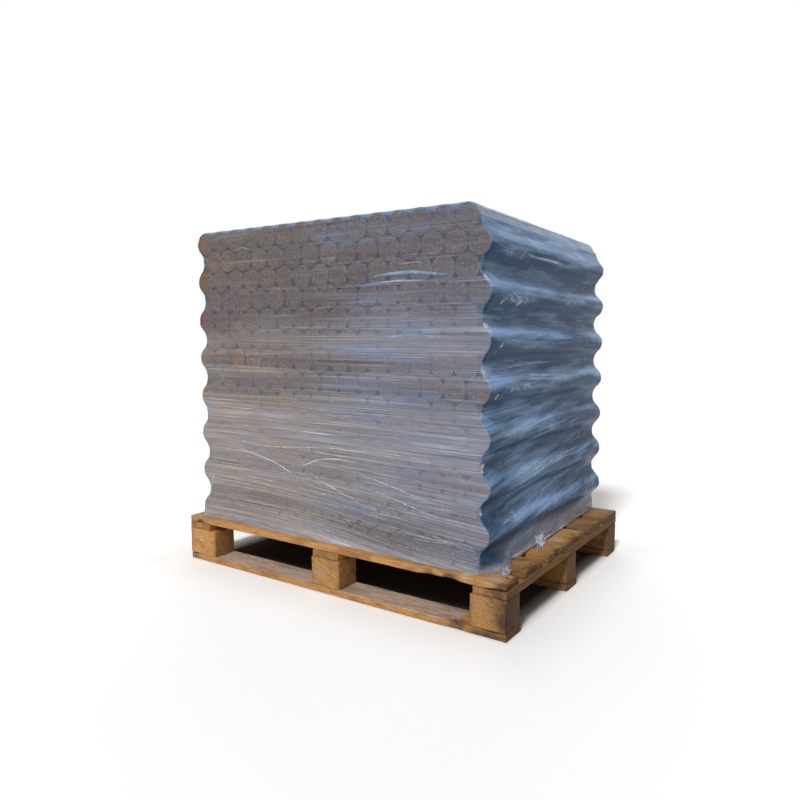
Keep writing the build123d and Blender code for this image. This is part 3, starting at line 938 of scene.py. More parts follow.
def makeFilm():
    o = film["offset"]
    frontY, backY = loadFront - o, loadBack + o
    xLine = gradedLines(0.0, 1.0, film["columnStep"] / film["nominalWidth"],
                       [0.0008, 0.003, 0.007, 0.013, 0.020, 0.028])
    yLine = gradedLines(frontY, backY, film["columnStep"], [v * mm for v in (1.5, 3.5, 7, 13, 20)])
    nx, ny = len(xLine) - 1, len(yLine) - 1
    base = deckTop + 0.4 * mm
    count = int(round((topAxis - lowZ) / rowPitch * film["rowsPerLog"]))
    heights = np.linspace(lowZ, topAxis, count + 1)
    # Closer lines near the foot, where the film turns out onto the deck
    below = np.linspace(0.0, 1.0, film["footLines"] + 1)[:-1] ** film["footBunching"]
    below = base + (lowZ - base) * below
    heights = np.concatenate((below, heights))
    flared = np.clip(1 - (heights - base) / film["flareHeight"], 0, 1) ** 2
    flareF, flareB = film["hemFront"] * flared, film["hemBack"] * flared

    # Columns round the load, from the front left corner and anticlockwise seen from above
    a = np.concatenate((xLine[:-1], np.ones(ny), xLine[:0:-1], np.zeros(ny)))
    b = np.concatenate((np.full(nx, frontY), yLine[:-1], np.full(nx, backY), yLine[:0:-1]))
    columns, rows = len(a), len(heights)
    Y = np.repeat(b[None, :], rows, axis=0)
    Z = np.repeat(heights[:, None], columns, axis=1)
    shallow, deep = film["hollowDepth"]
    depthR = shallow + (deep - shallow) * valueNoise(Y / 0.16, Z / 0.12, 3)
    depthL = shallow + (deep - shallow) * valueNoise(Y / 0.16, Z / 0.12, 4) * 0.8
    # Above the last log that stands out on the right, the film runs straight to the top row
    right = rightAxis + sideReach(Z, oddLevels, depthR)
    last = film["straightAbove"]
    slope = rightAxis + (filmR - (Z - lowZ - last * rowPitch) * math.sin(tangent)) / math.cos(tangent)
    along = np.clip((Z - lowZ) / rowPitch - last - 0.25, 0, 0.75) / 0.75
    sag = film["straightSag"] * np.sin(math.pi * along)
    right = np.where(Z > lowZ + last * rowPitch + filmR * math.sin(tangent), slope - sag, right)
    left = leftAxis - sideReach(Z, evenLevels, depthL)
    # Foot: straight down from the lowest row, then flared onto the deck
    flare = film["footFlare"] * smoothStep(lowZ, base, Z)
    right = np.where(Z < lowZ, right[film["footLines"]][None, :] + flare, right)
    crumple = film["crumple"][0] + film["crumple"][1] * smoothStep(-0.20, -0.30, Y)
    footX = np.interp(Y, *zip(*film["footLine"])) + crumple * (valueNoise(Y / 0.03, Z / 0.016, 5) - 0.5)
    drawn = smoothStep(lowZ + 0.62 * rowPitch, base, Z) ** 1.4
    right = right * (1 - drawn) + footX * drawn
    left = np.where(Z < lowZ, leftAxis - filmR - flare, left)
    X = left + a[None, :] * (right - left)
    # Lift the last lines up to the top edge
    lift = smoothStep(topAxis - 60 * mm, topAxis, heights)
    edgeZ = topHeight(X[-1], Y[-1])
    Z += lift[:, None] * (edgeZ - topAxis)[None, :]
    # Round the four upright corners
    c = film["cornerRadius"]
    coreX = np.clip(X, left + c, right - c)
    coreY = np.clip(Y, frontY + c, backY - c)
    dx, dy = X - coreX, Y - coreY
    size = np.sqrt(dx ** 2 + dy ** 2)
    nX, nY = dx / size, dy / size
    X, Y = coreX + nX * c, coreY + nY * c
    Y += np.where(nY < 0, -flareF[:, None], flareB[:, None]) * np.abs(nY)

    # Distance round the load, for the lines along the pull
    line = film["measuredLine"]
    S = np.concatenate(([0], np.cumsum(np.hypot(np.diff(X[line]), np.diff(Y[line])))))
    S = np.repeat(S[None, :], rows, axis=0)
    push, values, tint, pull = dressFilm(X, Y, Z, S, nX, nY)
    X, Y = X + nX * push, Y + nY * push

    points = np.stack([X, Y, Z], axis=-1).reshape(-1, 3)
    faces = []
    for r in range(rows - 1):
        for k in range(columns):
            n = (k + 1) % columns
            faces.append((r * columns + k, r * columns + n, (r + 1) * columns + n, (r + 1) * columns + k))

    # Top: a grid inside the band's last line
    ring = (rows - 1) * columns
    index = np.zeros((nx + 1, ny + 1), dtype=int)
    index[:nx, 0] = ring + np.arange(nx)
    index[nx, :ny] = ring + nx + np.arange(ny)
    index[nx:0:-1, ny] = ring + nx + ny + np.arange(nx)
    index[0, ny:0:-1] = ring + 2 * nx + ny + np.arange(ny)
    topLow, topHigh = left[-1, 0], right[-1, nx]
    topX, topY = np.meshgrid(topLow + xLine[1:-1] * (topHigh - topLow), yLine[1:-1], indexing="ij")
    topZ = topHeight(topX, topY)
    topPush, topHaze, topTintAndSkyReflection, topPull = dressTop(topX, topY)
    index[1:-1, 1:-1] = len(points) + np.arange((nx - 1) * (ny - 1)).reshape(nx - 1, ny - 1)
    points = np.concatenate((points, np.stack([topX, topY, topZ + topPush], axis=-1).reshape(-1, 3)))
    for i in range(nx):
        for j in range(ny):
            faces.append((index[i, j], index[i + 1, j], index[i + 1, j + 1], index[i, j + 1]))
    piece = meshPiece("film_turns", points, faces, stretchFilm)
    topValues = {"haze": topHaze.ravel(), "sheen": np.full(topHaze.size, film["topSheen"])}
    for name, value in values.items():
        onTop = topValues.get(name, np.zeros(topHaze.size))
        paint(piece, name, "FLOAT", np.concatenate((value.ravel(), onTop)))
    colours = np.concatenate((tint.reshape(-1, 3), topTintAndSkyReflection.reshape(-1, 3)))
    paint(piece, "tint", "FLOAT_COLOR", colours)
    paint(piece, "pull", "FLOAT_VECTOR", np.concatenate((pull.reshape(-1, 3), topPull.reshape(-1, 3))))
    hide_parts("film_wrap")
    print("film:", len(points), "points")
    sides = {"front": (0, nx), "right": (nx, nx + ny), "back": (nx + ny, 2 * nx + ny),
             "left": (2 * nx + ny, columns - 1)}
    return {"piece": piece, "X": X, "Y": Y, "Z": Z, "heights": heights, "faces": sides}


def blend(low, high, share):
    # Between two colours, or arrays of colours, by a share from 0 to 1 at each vertex
    low = np.array(linear(low)[:3]) if isinstance(low, str) else low
    high = np.array(linear(high)[:3]) if isinstance(high, str) else high
    return low * (1 - share[..., None]) + high * share[..., None]


def gapShare(X, Z):
    # 1 in the hollows between the round log ends, 0 on the log ends
    level = np.round((Z - lowZ) / rowPitch)
    gap = np.full(X.shape, 9.0)
    for up in (-1, 0, 1):
        near = np.clip(level + up, 0, log["rows"] - 1)
        shift = np.where(near % 2 > 0.5, log["pitch"] / 2, 0.0)
        index = np.clip(np.round((X - leftAxis - shift) / log["pitch"]), 0, log["count"] - 1)
        group = np.floor(index / log["groupSize"]) * log["groupGap"]
        axis = leftAxis + shift + index * log["pitch"] + group
        gap = np.minimum(gap, np.hypot(X - axis, Z - lowZ - near * rowPitch))
    return smoothStep(logR - 4 * mm, logR + 3 * mm, gap)


endFilm = {
    "clear": "#777277",  # greyish veil where few turns lie over the log ends
    "clearRight": "#757786",
    "milky": "#9e9898",
    "milkyRight": "#9097a9",
    "clearCover": 0.34,
    "milkyCover": 0.74,
    # How milky the turns are at heights above the deck, in metres, at the left and the right
    "milkHeights": (0.0, 0.06, 0.13, 0.25, 0.36, 0.405, 0.48, 0.56, 0.66, 0.74, 0.80, 0.93),
    "milkLeft": (0.72, 0.62, 0.64, 0.74, 0.68, 0.42, 0.18, 0.34, 0.14, 0.02, 0.00, 0.16),
    "milkRight": (0.44, 0.34, 0.46, 0.68, 0.88, 0.58, 0.32, 0.54, 0.32, 0.30, 0.10, 0.10),
    # Spots with little film over the logs: X, Z, reach in metres, and how clear
    "bareSpots": ((-0.560, 1.032, 0.050, 1.0), (-0.558, 0.910, 0.064, 1.0), (-0.562, 0.788, 0.034, 0.8),
                  (-0.382, 0.666, 0.034, 0.42), (-0.312, 0.666, 0.030, 0.36)),
    # Spots with a tan tinge: X, Z and reach in metres
    "tanSpots": ((-0.400, 0.285, 0.050), (-0.555, 0.545, 0.034), (-0.555, 0.301, 0.034),
                 (-0.545, 0.660, 0.026)),
}


def dressEnds(X, Z, S, across):
    # Film over the log ends, front and back
    push = -film["endDent"] * gapShare(X, Z)
    push += valueNoise(S / 0.22, across / 0.006, 11) * 0.8 * mm
    push += valueNoise(S / 0.5, across / 0.030, 12) * 1.6 * mm
    lean = (X + 0.1) * 0.06 * (valueNoise(S / 0.8, across / 0.2, 20) - 0.3)
    atRight = smoothStep(-0.40, 0.30, X)
    above = Z - deckTop + lean
    milk = np.interp(above, endFilm["milkHeights"], endFilm["milkLeft"]) * (1 - atRight)
    milk += np.interp(above, endFilm["milkHeights"], endFilm["milkRight"]) * atRight
    milk += (valueNoise(S / 0.9, across / 0.035, 21) - 0.5) * 0.45
    milk += (valueNoise(S / 0.25, across / 0.10, 22) - 0.5) * 0.25
    milk = np.clip(milk, 0, 1)
    haze = endFilm["clearCover"] + (endFilm["milkyCover"] - endFilm["clearCover"]) * milk
    bluish = smoothStep(-0.2, 0.35, X + (Z - 0.5) * 0.4) * 0.8
    milky = blend(endFilm["milky"], endFilm["milkyRight"], bluish)
    clear = blend(endFilm["clear"], endFilm["clearRight"], smoothStep(-0.3, 0.45, X))
    tint = blend(clear, milky, smoothStep(0.05, 0.6, milk))
    blue = smoothStep(0.58, 0.85, valueNoise(X / 0.16, across / 0.022, 27)) * smoothStep(-0.35, 0.1, X)
    tan = smoothStep(0.60, 0.85, valueNoise(X / 0.09, across / 0.020, 28)) * smoothStep(0.1, -0.3, X)
    for x, z, reach in endFilm["tanSpots"]:
        tan = np.maximum(tan, smoothStep(reach, 0, np.hypot((X - x) / 1.4, Z - z)))
    tint = blend(blend(tint, "#7f95ba", 0.34 * blue), "#a9917a", 0.42 * tan)
    hollow = np.clip(1.15 - 1.1 * milk - 0.8 * valueNoise(X / 0.09, Z / 0.07, 26), 0, 1)
    for x, z, reach, clearness in endFilm["bareSpots"]:
        haze = haze * (1 - clearness * smoothStep(reach, reach * 0.5, np.hypot(X - x, Z - z)))
    brim = gapShare(X, Z) * smoothStep(topAxis + 0.012, topAxis + 0.03, Z)
    haze = haze + (0.9 - haze) * brim
    return push, haze, blend(tint, "#5f7898", brim), hollow * (1 - brim)


sideFilm = {
    "cover": 0.97,
    # Places where the film is bunched against the near corner and carries painted glints: Y, Z and size
    # in metres
    "crumpleGlintSpots": ((-0.371, 0.884, 0.008), (-0.368, 0.766, 0.007), (-0.364, 0.752, 0.005),
                (-0.366, 0.648, 0.007), (-0.366, 0.546, 0.005), (-0.378, 0.407, 0.007),
                (-0.366, 0.420, 0.006), (-0.372, 0.300, 0.006), (-0.312, 0.826, 0.006),
                (-0.222, 0.829, 0.007), (-0.340, 0.592, 0.006), (-0.320, 0.716, 0.006)),
    # Bands where the film is rucked up: Y and Z of the middle, half length and half height
    "wisps": ((-0.240, 0.842, 0.125, 0.020), (-0.320, 0.900, 0.050, 0.018), (-0.190, 0.605, 0.150, 0.018),
              (-0.130, 0.380, 0.110, 0.018), (-0.300, 0.735, 0.080, 0.016), (-0.270, 0.497, 0.110, 0.016),
              (-0.240, 0.955, 0.110, 0.016), (-0.260, 0.270, 0.080, 0.020), (-0.020, 0.480, 0.080, 0.014),
              (0.150, 0.850, 0.120, 0.016), (0.100, 0.620, 0.140, 0.014)),
}


def dressSides(X, Y, Z, S, across, up):
    # Film over the long sides of the outer logs; up is 1 where a slope faces up, 0 down
    gather = valueNoise(S / 0.09, across / 0.016, 13)
    push = valueNoise(S / 0.30, across / 0.007, 14) * 0.9 * mm
    push += valueNoise(S / 0.12, across / 0.045, 15) * 3.5 * mm
    ridge = 1 - np.abs(2 * valueNoise(S / 0.07 + gather, across / 0.022, 16) - 1)
    pucker = smoothStep(0.72, 1.0, ridge) * smoothStep(0.35, 0.75, valueNoise(S / 0.16, Z / 0.06, 17))
    push += pucker * 2.2 * mm
    blotch = valueNoise(S / 0.20, across / 0.030, 24)
    sheen = 0.20 + up * 0.42 + (blotch - 0.5) * 0.22 + 0.05 * smoothStep(0.62, 0.35, Z)
    sheen += 0.15 * up * smoothStep(-0.05, -0.33, Y) * smoothStep(0.42, 0.60, Z)
    sheen -= 0.16 * smoothStep(-0.20, -0.32, Y) * smoothStep(0.46, 0.30, Z) * (X > 0)
    sheen += 0.10 * smoothStep(1.0, 0.2, np.hypot((Y - 0.02) / 0.22, (Z - 0.27) / 0.07)) * (X > 0)
    # Low down on the right the slopes differ less: the middle is pale there, and dark beyond it
    low = smoothStep(0.64, 0.50, Z) * smoothStep(0.22, 0.30, Z) * (X > 0)
    sheen += low * (0.24 * (0.5 - up) + 0.09 * smoothStep(0.17, 0.02, np.abs(Y + 0.15))
                    - 0.10 * smoothStep(0.00, 0.12, Y))
    sheen += (0.14 * up * smoothStep(0.28, 0.37, Y) - 0.05 * smoothStep(0.0, 0.15, Y)) * (X > 0)
    topSlope = smoothStep(topAxis - 0.070, topAxis - 0.048, Z + (blotch - 0.5) * 0.03)
    onSlope = 0.55 + 0.09 * smoothStep(-0.36, -0.12, Y) + (blotch - 0.5) * 0.06
    sheen = sheen + (onSlope - sheen) * topSlope
    foot = smoothStep(deckTop + 0.09, deckTop + 0.02, Z) * smoothStep(-0.38, -0.10, Y) * (X > 0)
    # Below the lowest bar that stands out the film faces down by the corner, and stays dark
    underBar = smoothStep(lowZ + 0.85 * rowPitch, lowZ + 0.3 * rowPitch, Z)
    sheen -= 0.30 * underBar * smoothStep(-0.22, -0.30, Y)
    wisp = np.zeros(X.shape)
    for y, z, halfLength, halfHeight in sideFilm["wisps"]:
        away = np.hypot((Y - y) / halfLength, (Z - z) / halfHeight)
        wisp = np.maximum(wisp, smoothStep(1.0, 0.3, away))
    slope = (0.22 + 0.20 * smoothStep(0.75, 0.45, Z)) * (1 - 0.85 * topSlope)
    crumpleGlint = np.zeros(X.shape)
    for y, z, size in sideFilm["crumpleGlintSpots"]:
        away = np.hypot(Y - y, Z - z)
        crumpleGlint = np.maximum(crumpleGlint, smoothStep(size * 2.2, 0, away) * (X > 0))
    return push, np.full(X.shape, sideFilm["cover"]), sheen, foot, crumpleGlint, wisp, slope


def dressFilm(X, Y, Z, S, nX, nY):
    # How far the film stands out, how milky it is, its colour, and the place along its pull
    isSide = smoothStep(0.5, 0.9, np.abs(nX))
    height = (Z - deckTop) / (topAxis - deckTop)
    slant = smoothStep(0.75, 0.0, height) * 0.17 * (X > 0)
    droop = smoothStep(0.40, 0.0, height) * 0.07 * smoothStep(-0.45, 0.3, X)
    across = Z + droop * (X + 0.45) * (1 - isSide) - slant * (Y - loadFront) * isSide
    pull = np.stack([S, across, np.zeros_like(S)], axis=-1)
    rise = np.gradient(Z, axis=0)
    reach = np.gradient(np.abs(X), axis=0)
    up = 0.5 - 0.5 * np.clip(reach / np.maximum(rise, 1e-5) / 0.9, -1, 1)
    endPush, endHaze, endTint, hollow = dressEnds(X, Z, S, across)
    sidePush, sideHaze, sheen, foot, crumpleGlint, wisp, slope = dressSides(X, Y, Z, S, across, up)
    push = endPush * (1 - isSide) + sidePush * isSide
    haze = endHaze * (1 - isSide) + sideHaze * isSide
    tint = blend(endTint, "#8a8790", foot)
    hem = smoothStep(deckTop + 0.030, deckTop + 0.004, Z)
    push += hem * (valueNoise(S / 0.03, Z / 0.012, 18) - 0.35) * 5 * mm
    haze = haze + (0.7 - haze) * hem * 0.6
    tint = blend(tint, "#a9a9ae", hem * 0.4)
    # Thin and clear where it is drawn out over the deck by the near corner
    thin = smoothStep(deckTop + 0.045, deckTop + 0.010, Z) * smoothStep(-0.22, -0.27, Y)
    thin *= X > film["nearFootX"]
    haze = haze * (1 - 0.42 * thin * (0.6 + 0.8 * valueNoise(S / 0.02, Z / 0.008, 19)))
    values = {"haze": haze, "hollow": hollow * (1 - isSide), "sheen": sheen, "crumpleGlint": crumpleGlint * isSide,
              "wisp": wisp * isSide, "slope": slope, "side": isSide * (1 - 0.8 * foot) * (1 - hem)}
    return push, values, tint, pull


def dressTop(x, y):
    ripple = valueNoise(x / 0.10, y / 0.02, 31) - 0.5
    ridge = 1 - np.abs(2 * valueNoise(x / 0.09, y / 0.05, 32) - 1)
    push = ripple * 1.2 * mm + smoothStep(0.85, 1.0, ridge) * 1.5 * mm
    push *= smoothStep(0, 0.02, np.minimum(y - loadFront, loadBack - y))
    haze = 0.72 + 0.2 * (valueNoise(x / 0.2, y / 0.05, 33) - 0.5)
    # Light blue: partly the film's own tint, partly a painted reflection of the sky
    tint = blend("#6f86a6", "#8ba0bd", valueNoise(x / 0.15, y / 0.06, 34))
    pull = np.stack([y, x, np.zeros_like(x)], axis=-1)
    return push, haze, tint, pull


filmGrid = makeFilm()


def onFilm(face, along, z):
    # The film's surface on one of its four faces, at a place along the face and a height
    row = np.interp(z, filmGrid["heights"], np.arange(len(filmGrid["heights"])))
    r = min(int(row), len(filmGrid["heights"]) - 2)
    first, last = filmGrid["faces"][face]
    run = (filmGrid["X"] if face in ("front", "back") else filmGrid["Y"])[r, first:last + 1]
    columns = np.arange(first, last + 1)
    turned = face in ("back", "left")  # where the columns run the other way
    column = np.interp(along, run[::-1], columns[::-1]) if turned else np.interp(along, run, columns)
    c = min(int(column), last - 1)
    u, v = row - r, column - c
    out = []
    for name in "XYZ":
        g = filmGrid[name]
        out.append((g[r, c] * (1 - v) + g[r, c + 1] * v) * (1 - u)
                   + (g[r + 1, c] * (1 - v) + g[r + 1, c + 1] * v) * u)
    return np.array(out)


folds = {
    "count": {"front": 150, "right": 100, "back": 110, "left": 80},
    "length": (60 * mm, 340 * mm),
    "width": (1.0 * mm, 2.8 * mm),
    "lift": 1.2 * mm,
    "pieces": 16,  # lengths that one fold is drawn in
    # Stray folds lie within these: along the face and in height, in metres
    "onEnds": ((-0.53, 0.44), (0.16, 1.02)),
    "onSides": ((-0.35, 0.37), (0.17, 0.99)),
    "lowShare": 0.62,  # of those on the ends, how many are moved to the lower half
    "lowHeights": (0.16, 0.55),
    # Folds that the photograph shows: width in mm, colour, cover, and places along each in metres,
    # X and Z on the front
    "front": (
        (3.4, "#c2c0c4", 0.75, ((-0.441, 0.396), (-0.208, 0.355), (-0.149, 0.327), (-0.043, 0.298))),
        (3.0, "#c2c0c4", 0.70, ((-0.099, 0.345), (-0.015, 0.316), (0.050, 0.296), (0.142, 0.268))),
        (3.6, "#cfcdd0", 0.85, ((-0.138, 0.349), (-0.086, 0.363), (-0.042, 0.382), (0.036, 0.391),
                                (0.143, 0.386))),
        (3.6, "#b9b7bc", 0.60, ((-0.378, 0.459), (-0.269, 0.462), (-0.147, 0.462), (-0.040, 0.458),
                                (0.169, 0.465))),
        (4.0, "#c2c0c4", 0.65, ((-0.545, 0.411), (-0.373, 0.409), (-0.246, 0.402), (-0.013, 0.419),
                                (0.140, 0.425))),
        (3.0, "#b9b7bc", 0.55, ((-0.447, 0.219), (-0.190, 0.222), (-0.045, 0.217), (0.090, 0.209))),
        (8.0, "#86a6c8", 0.62, ((0.135, 0.890), (0.200, 0.902), (0.300, 0.905), (0.430, 0.891))),
        (5.0, "#9db4cf", 0.60, ((0.135, 0.878), (0.250, 0.884), (0.380, 0.880))),
        (7.0, "#8ea6c6", 0.55, ((0.180, 0.735), (0.300, 0.742), (0.440, 0.736))),
        (3.0, "#b4b6c0", 0.60, ((-0.02, 0.372), (0.15, 0.352), (0.32, 0.315), (0.48, 0.289))),
        (3.0, "#b4b6c0", 0.60, ((0.05, 0.330), (0.20, 0.310), (0.36, 0.275), (0.49, 0.262))),
        (2.6, "#d0d0d6", 0.70, ((-0.520, 0.240), (-0.500, 0.300), (-0.490, 0.330))),
    ),
    # Y and Z on the right
    "right": (
        (4.0, "#8fa8c8", 0.70, ((-0.277, 0.629), (-0.1, 0.625), (0.108, 0.616))),
        (4.0, "#8fa8c8", 0.65, ((-0.27, 0.640), (-0.05, 0.634), (0.16, 0.626))),
        (6.0, "#8fa8c8", 0.60, ((-0.25, 0.969), (-0.15, 0.955), (-0.02, 0.958), (0.12, 0.951))),
        (3.0, "#a9bdd6", 0.70, ((-0.34, 0.655), (-0.10, 0.668), (0.12, 0.672))),
        (3.0, "#a9bdd6", 0.60, ((-0.30, 0.330), (-0.05, 0.372), (0.18, 0.404))),
        (3.0, "#a9bdd6", 0.60, ((-0.24, 0.240), (0.00, 0.290), (0.24, 0.335))),
    ),
    "back": (),
    "left": (),
}


def foldPath(corners, count, rng):
    # Points spread evenly along a line through the corners, with a slight waver
    corners = np.array(corners)
    steps = np.concatenate(([0], np.cumsum(np.hypot(*np.diff(corners, axis=0).T))))
    at = np.linspace(0, steps[-1], count)
    path = np.stack([np.interp(at, steps, corners[:, k]) for k in (0, 1)], axis=-1)
    smooth = path.copy()
    smooth[1:-1] = (path[:-2] + 2 * path[1:-1] + path[2:]) / 4
    smooth[:, 1] += (rng.random(count) - 0.5) * 0.6 * mm
    return smooth


def strayFold(face, rng):
    # A fold somewhere on a face; those low down lean, as the turns there were wound at a slant
    onEnd = face in ("front", "back")
    (low, high), heights = folds["onEnds"] if onEnd else folds["onSides"]
    z = rng.uniform(*heights)
    if onEnd and rng.random() < folds["lowShare"]:
        z = rng.uniform(*folds["lowHeights"])
    height = (z - deckTop) / (topAxis - deckTop)
    if onEnd:
        slope = rng.normal(-0.01, 0.02) - 0.14 * max(0, 0.42 - height) * rng.random() * 2
    else:
        slope = rng.normal(0.0, 0.03) + 0.20 * max(0, 0.75 - height) * (face == "right")
    length = rng.uniform(*folds["length"]) * (1.0 if onEnd else 0.8)
    start = rng.uniform(low, high - length * 0.7)
    end = min(start + length, high + 0.03)
    waver = rng.normal(0, 0.004)
    z2 = min(max(z + slope * (end - start), 0.155), 1.03)
    colour = "#b9b8ba" if onEnd else "#8ea4c6"
    if rng.random() < (0.25 if onEnd else 0.12):
        colour = "#c9bcae"
    colour = np.array(linear(colour)[:3]) * rng.uniform(0.75, 1.1)
    cover = rng.uniform(0.12, 0.55) * (1.3 if z < 0.55 else 0.7)
    corners = ((start, z), ((start + end) / 2, (z + z2) / 2 + waver), (end, z2))
    return rng.uniform(*folds["width"]), colour, cover, corners


def makeFolds():
    # Thin raised folds, as the film has where it was drawn unevenly
    rng = np.random.default_rng(77)
    ways = {"front": (0, -1, 0), "right": (1, 0, 0), "back": (0, 1, 0), "left": (-1, 0, 0)}
    points, faces, haze, tint, pull = [], [], [], [], []
    for face, way in ways.items():
        drawn = [(width * mm, np.array(linear(colour)[:3]), cover, corners)
                 for width, colour, cover, corners in folds[face]]
        drawn += [strayFold(face, rng) for _ in range(folds["count"][face])]
        outward = np.array(way)
        turned = face in ("back", "left")  # so that the faces look outwards there too
        for width, colour, cover, corners in drawn:
            path = foldPath(corners, folds["pieces"] + 1, rng)
            start = len(points)
            for step, (along, z) in enumerate(path):
                share = math.sin(math.pi * (step + 0.15) / (folds["pieces"] + 0.3)) ** 0.7
                half = width * share / 2 + 0.1 * mm
                for side in (-1, 0, 1):
                    place = onFilm(face, along, z + side * half)
                    lift = 0.35 * mm + (folds["lift"] * share if side == 0 else 0)
                    points.append(place + outward * lift)
                    haze.append(cover * share)
                    tint.append(colour)
                    pull.append((along + 3, z, 1))
            for step in range(folds["pieces"]):
                for side in range(2):
                    a = start + step * 3 + side
                    faces.append((a, a + 1, a + 4, a + 3) if turned else (a, a + 3, a + 4, a + 1))
    piece = meshPiece("film_folds", points, faces, stretchFilm)
    paint(piece, "haze", "FLOAT", haze)
    paint(piece, "tint", "FLOAT_COLOR", tint)
    paint(piece, "pull", "FLOAT_VECTOR", pull)
    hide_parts("film_wrap")
    print("folds:", len(faces) // (2 * folds["pieces"]))
    return piece


filmFolds = makeFolds()


roll = {
    "radius": 4.2 * mm,
    "plies": 3,
    "twist": 46 / 6,  # turns a metre, uneven
    "sides": 8,
    "step": 6 * mm,
    # Line of the rolled up foot along the right side: X, Y, Z
    "path": ((0.524, -0.250, 0.150), (0.524, -0.220, 0.150), (0.525, -0.160, 0.149),
             (0.531, -0.081, 0.150), (0.528, 0.0, 0.150), (0.525, 0.084, 0.149),
             (0.519, 0.22, 0.149), (0.514, 0.34, 0.149), (0.511, 0.392, 0.150)),
    # Strands torn off at the knot: radius in mm, and the points that each follows
    "strands": (
        (0.9, ((0.533, -0.082, 0.168), (0.545, -0.094, 0.166),
               (0.552, -0.104, 0.150), (0.560, -0.115, 0.1465))),
        (0.7, ((0.534, -0.074, 0.172), (0.547, -0.074, 0.170),
               (0.555, -0.088, 0.158), (0.553, -0.098, 0.147))),
        (0.7, ((0.524, -0.078, 0.166), (0.523, -0.064, 0.176),
               (0.529, -0.052, 0.178), (0.535, -0.060, 0.168))),
        (0.7, ((0.530, -0.084, 0.156), (0.541, -0.112, 0.156),
               (0.552, -0.128, 0.148), (0.557, -0.138, 0.1465))),
    ),
}


def alongPath(corners, step):
    # Points a step apart along a smooth line through the corners, with their directions
    curve = bpy.data.curves.new("line", "CURVE")
    curve.dimensions = "3D"
    spline = curve.splines.new("NURBS")
    spline.points.add(len(corners) - 1)
    for point, place in zip(spline.points, corners):
        point.co = (*place, 1)
    spline.order_u = 3
    spline.use_endpoint_u = True
    spline.resolution_u = 12
    holder = bpy.data.objects.new("line", curve)
    mesh = bpy.data.meshes.new_from_object(holder)
    line = np.array([v.co for v in mesh.vertices])
    bpy.data.objects.remove(holder)
    bpy.data.meshes.remove(mesh)
    length = np.concatenate(([0], np.cumsum(np.linalg.norm(np.diff(line, axis=0), axis=1))))
    at = np.linspace(0, length[-1], max(4, int(length[-1] / step)))
    places = np.stack([np.interp(at, length, line[:, k]) for k in range(3)], axis=-1)
    ways = np.gradient(places, axis=0)
    return places, ways / np.linalg.norm(ways, axis=1)[:, None], at


def tube(places, ways, radii, sides, points, faces):
    start = len(points)
    for place, way, radius in zip(places, ways, radii):
        side = np.cross(way, (0, 0, 1.0))
        side = side / max(np.linalg.norm(side), 1e-6)
        rise = np.cross(side, way)
        for k in range(sides):
            turn = 2 * math.pi * k / sides
            points.append(place + radius * (side * math.cos(turn) + rise * math.sin(turn)))
    for step in range(len(places) - 1):
        for k in range(sides):
            a = start + step * sides + k
            b = start + step * sides + (k + 1) % sides
            faces.append((a, a + sides, b + sides, b))


def makeRoll():
    # The film's foot, rolled up into a loose rope on the deck
    places, ways, at = alongPath(roll["path"], roll["step"])
    side = np.cross(ways, (0, 0, 1.0))
    side /= np.linalg.norm(side, axis=1)[:, None]
    rise = np.cross(side, ways)
    points, faces = [], []
    for radius, corners in roll["strands"]:
        line, lineWays, lineAt = alongPath(corners, 3 * mm)
        thin = np.clip(np.minimum(lineAt + 4 * mm, lineAt[-1] + 2 * mm - lineAt) / (12 * mm), 0.3, 1)
        thin *= 0.6 + 0.8 * valueNoise(lineAt / 0.006, radius * 10, 57)
        tube(line, lineWays, radius * mm * thin, 5, points, faces)
    strandPoints = len(points)
    taper = np.clip(np.minimum(at, at[-1] - at) / 0.03, 0.25, 1)
    for strand in range(roll["plies"]):
        turn = 2 * math.pi * (strand / roll["plies"] + at * roll["twist"]
                              + valueNoise(at / 0.05, strand, 51) * 0.6)
        swing = roll["radius"] * 0.55 * taper * (0.7 + 0.6 * valueNoise(at / 0.03, strand, 52))
        line = places + side * (swing * np.cos(turn))[:, None] + rise * (swing * np.sin(turn))[:, None]
        radii = roll["radius"] * 0.62 * taper * (0.7 + 0.6 * valueNoise(at / 0.015, strand, 53))
        tube(line, ways, radii, roll["sides"], points, faces)
    piece = meshPiece("film_foot_roll", points, faces, stretchFilm)
    points = np.array(points)
    patch = valueNoise(points[:, 1] / 0.05, points[:, 2] / 0.004, 55)
    torn = np.arange(len(points)) < strandPoints
    paint(piece, "haze", "FLOAT", np.where(torn, 0.95, 0.62 + 0.3 * patch))
    colours = blend("#7f7b84", "#b4aeb0", patch)
    colours = np.where(torn[:, None], linear("#b6bec8")[:3], colours)
    paint(piece, "tint", "FLOAT_COLOR", colours)
    paint(piece, "pull", "FLOAT_VECTOR", points[:, [1, 2, 0]])
    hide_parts("film_wrap")
    print("foot roll done")
    return piece


filmRoll = makeRoll()


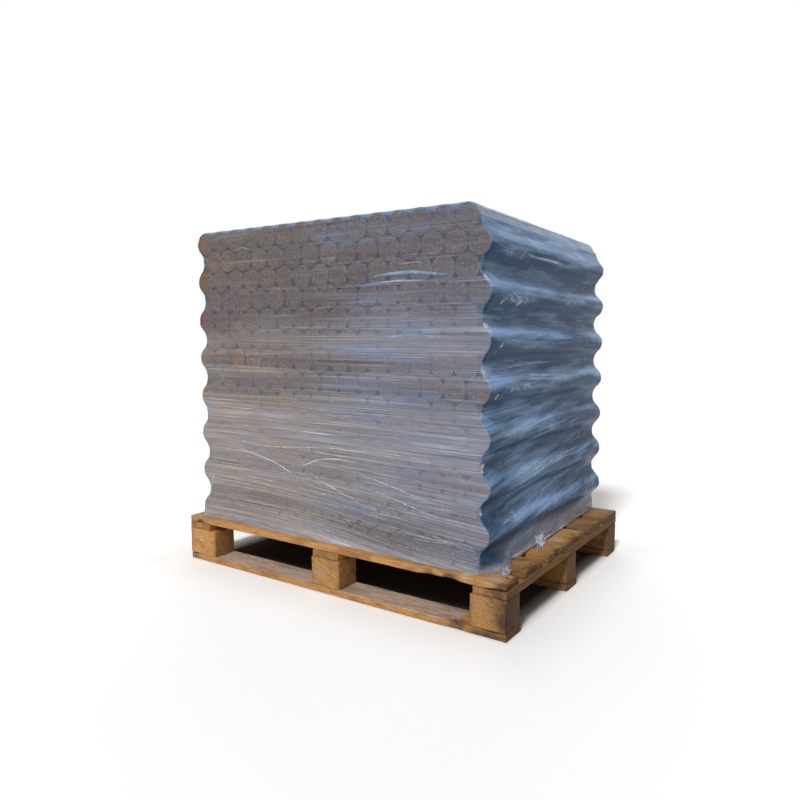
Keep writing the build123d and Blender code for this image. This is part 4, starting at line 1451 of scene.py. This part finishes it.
scraps = {
    # Each flat size is what the made surface unfolds to, as no cut edge can be seen.
    # By the near corner the film's edge was torn off and lies crumpled on the deck:
    "film_scrap": {
        "corner": (0.506, -0.345),
        "size": (0.075, 0.055),
        "steps": (30, 22),
        "height": 11 * mm,
        "flat": (0.061, 0.080),
        "restsOn": ["deck_board_1_worn", "deck_board_2_worn"],
        "colours": ("#76808f", "#cfccce"),
        "cover": (0.12, 0.42),
        "seed": 61,
    },
    # Halfway along, the rolled foot ends in a crumpled knot:
    "film_knot": {
        "corner": (0.522, -0.100),
        "size": (0.034, 0.040),
        "steps": (22, 24),
        "height": 30 * mm,
        "flat": (0.065, 0.080),
        "restsOn": ["film_foot_roll"],
        "colours": ("#8f9bac", "#dcdee2"),
        "cover": (0.40, 0.55),
        "seed": 71,
    },
}


def makeScrap(name):
    # A crumpled flap of film: a sheet pushed up into sharp ridges, ragged at its rim
    made = scraps[name]
    nu, nv = made["steps"]
    seed = made["seed"]
    u, v = np.meshgrid(np.linspace(0, 1, nu + 1), np.linspace(0, 1, nv + 1), indexing="ij")
    ragged = 0.5 + 0.5 * valueNoise(u * 7, v * 7, seed)
    x = made["corner"][0] + made["size"][0] * u * (0.78 + 0.22 * ragged) * (1 - 0.25 * v)
    y = made["corner"][1] + made["size"][1] * (v * (0.9 + 0.1 * ragged) + 0.25 * np.sin(u * 5))
    ridge = 1 - np.abs(2 * valueNoise(u * 6 + v * 2, v * 6, seed + 1) - 1)
    small = 1 - np.abs(2 * valueNoise(u * 14, v * 13 + u * 3, seed + 2) - 1)
    rim = smoothStep(1.0, 0.75, u) * smoothStep(0, 0.15, v) * smoothStep(1, 0.85, v)
    z = deckTop + 0.9 * mm + made["height"] * (0.70 * ridge ** 2 + 0.3 * small) * (0.25 + 0.75 * rim)
    points = np.stack([x, y, z], axis=-1).reshape(-1, 3)
    faces = [(i * (nv + 1) + j, (i + 1) * (nv + 1) + j, (i + 1) * (nv + 1) + j + 1, i * (nv + 1) + j + 1)
             for i in range(nu) for j in range(nv)]
    piece = meshPiece(name, points, faces, stretchFilm)
    base, added = made["cover"]
    paint(piece, "haze", "FLOAT", (base + added * ridge ** 3 + 0.2 * small ** 4).ravel())
    colours = blend(*made["colours"], (ridge ** 3).ravel())
    paint(piece, "tint", "FLOAT_COLOR", colours)
    paint(piece, "pull", "FLOAT_VECTOR", points[:, [1, 2, 0]])
    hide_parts("film_wrap")
    print(name, "area", round(sum(f.area for f in piece.data.polygons), 5))


for scrapName in scraps:
    makeScrap(scrapName)
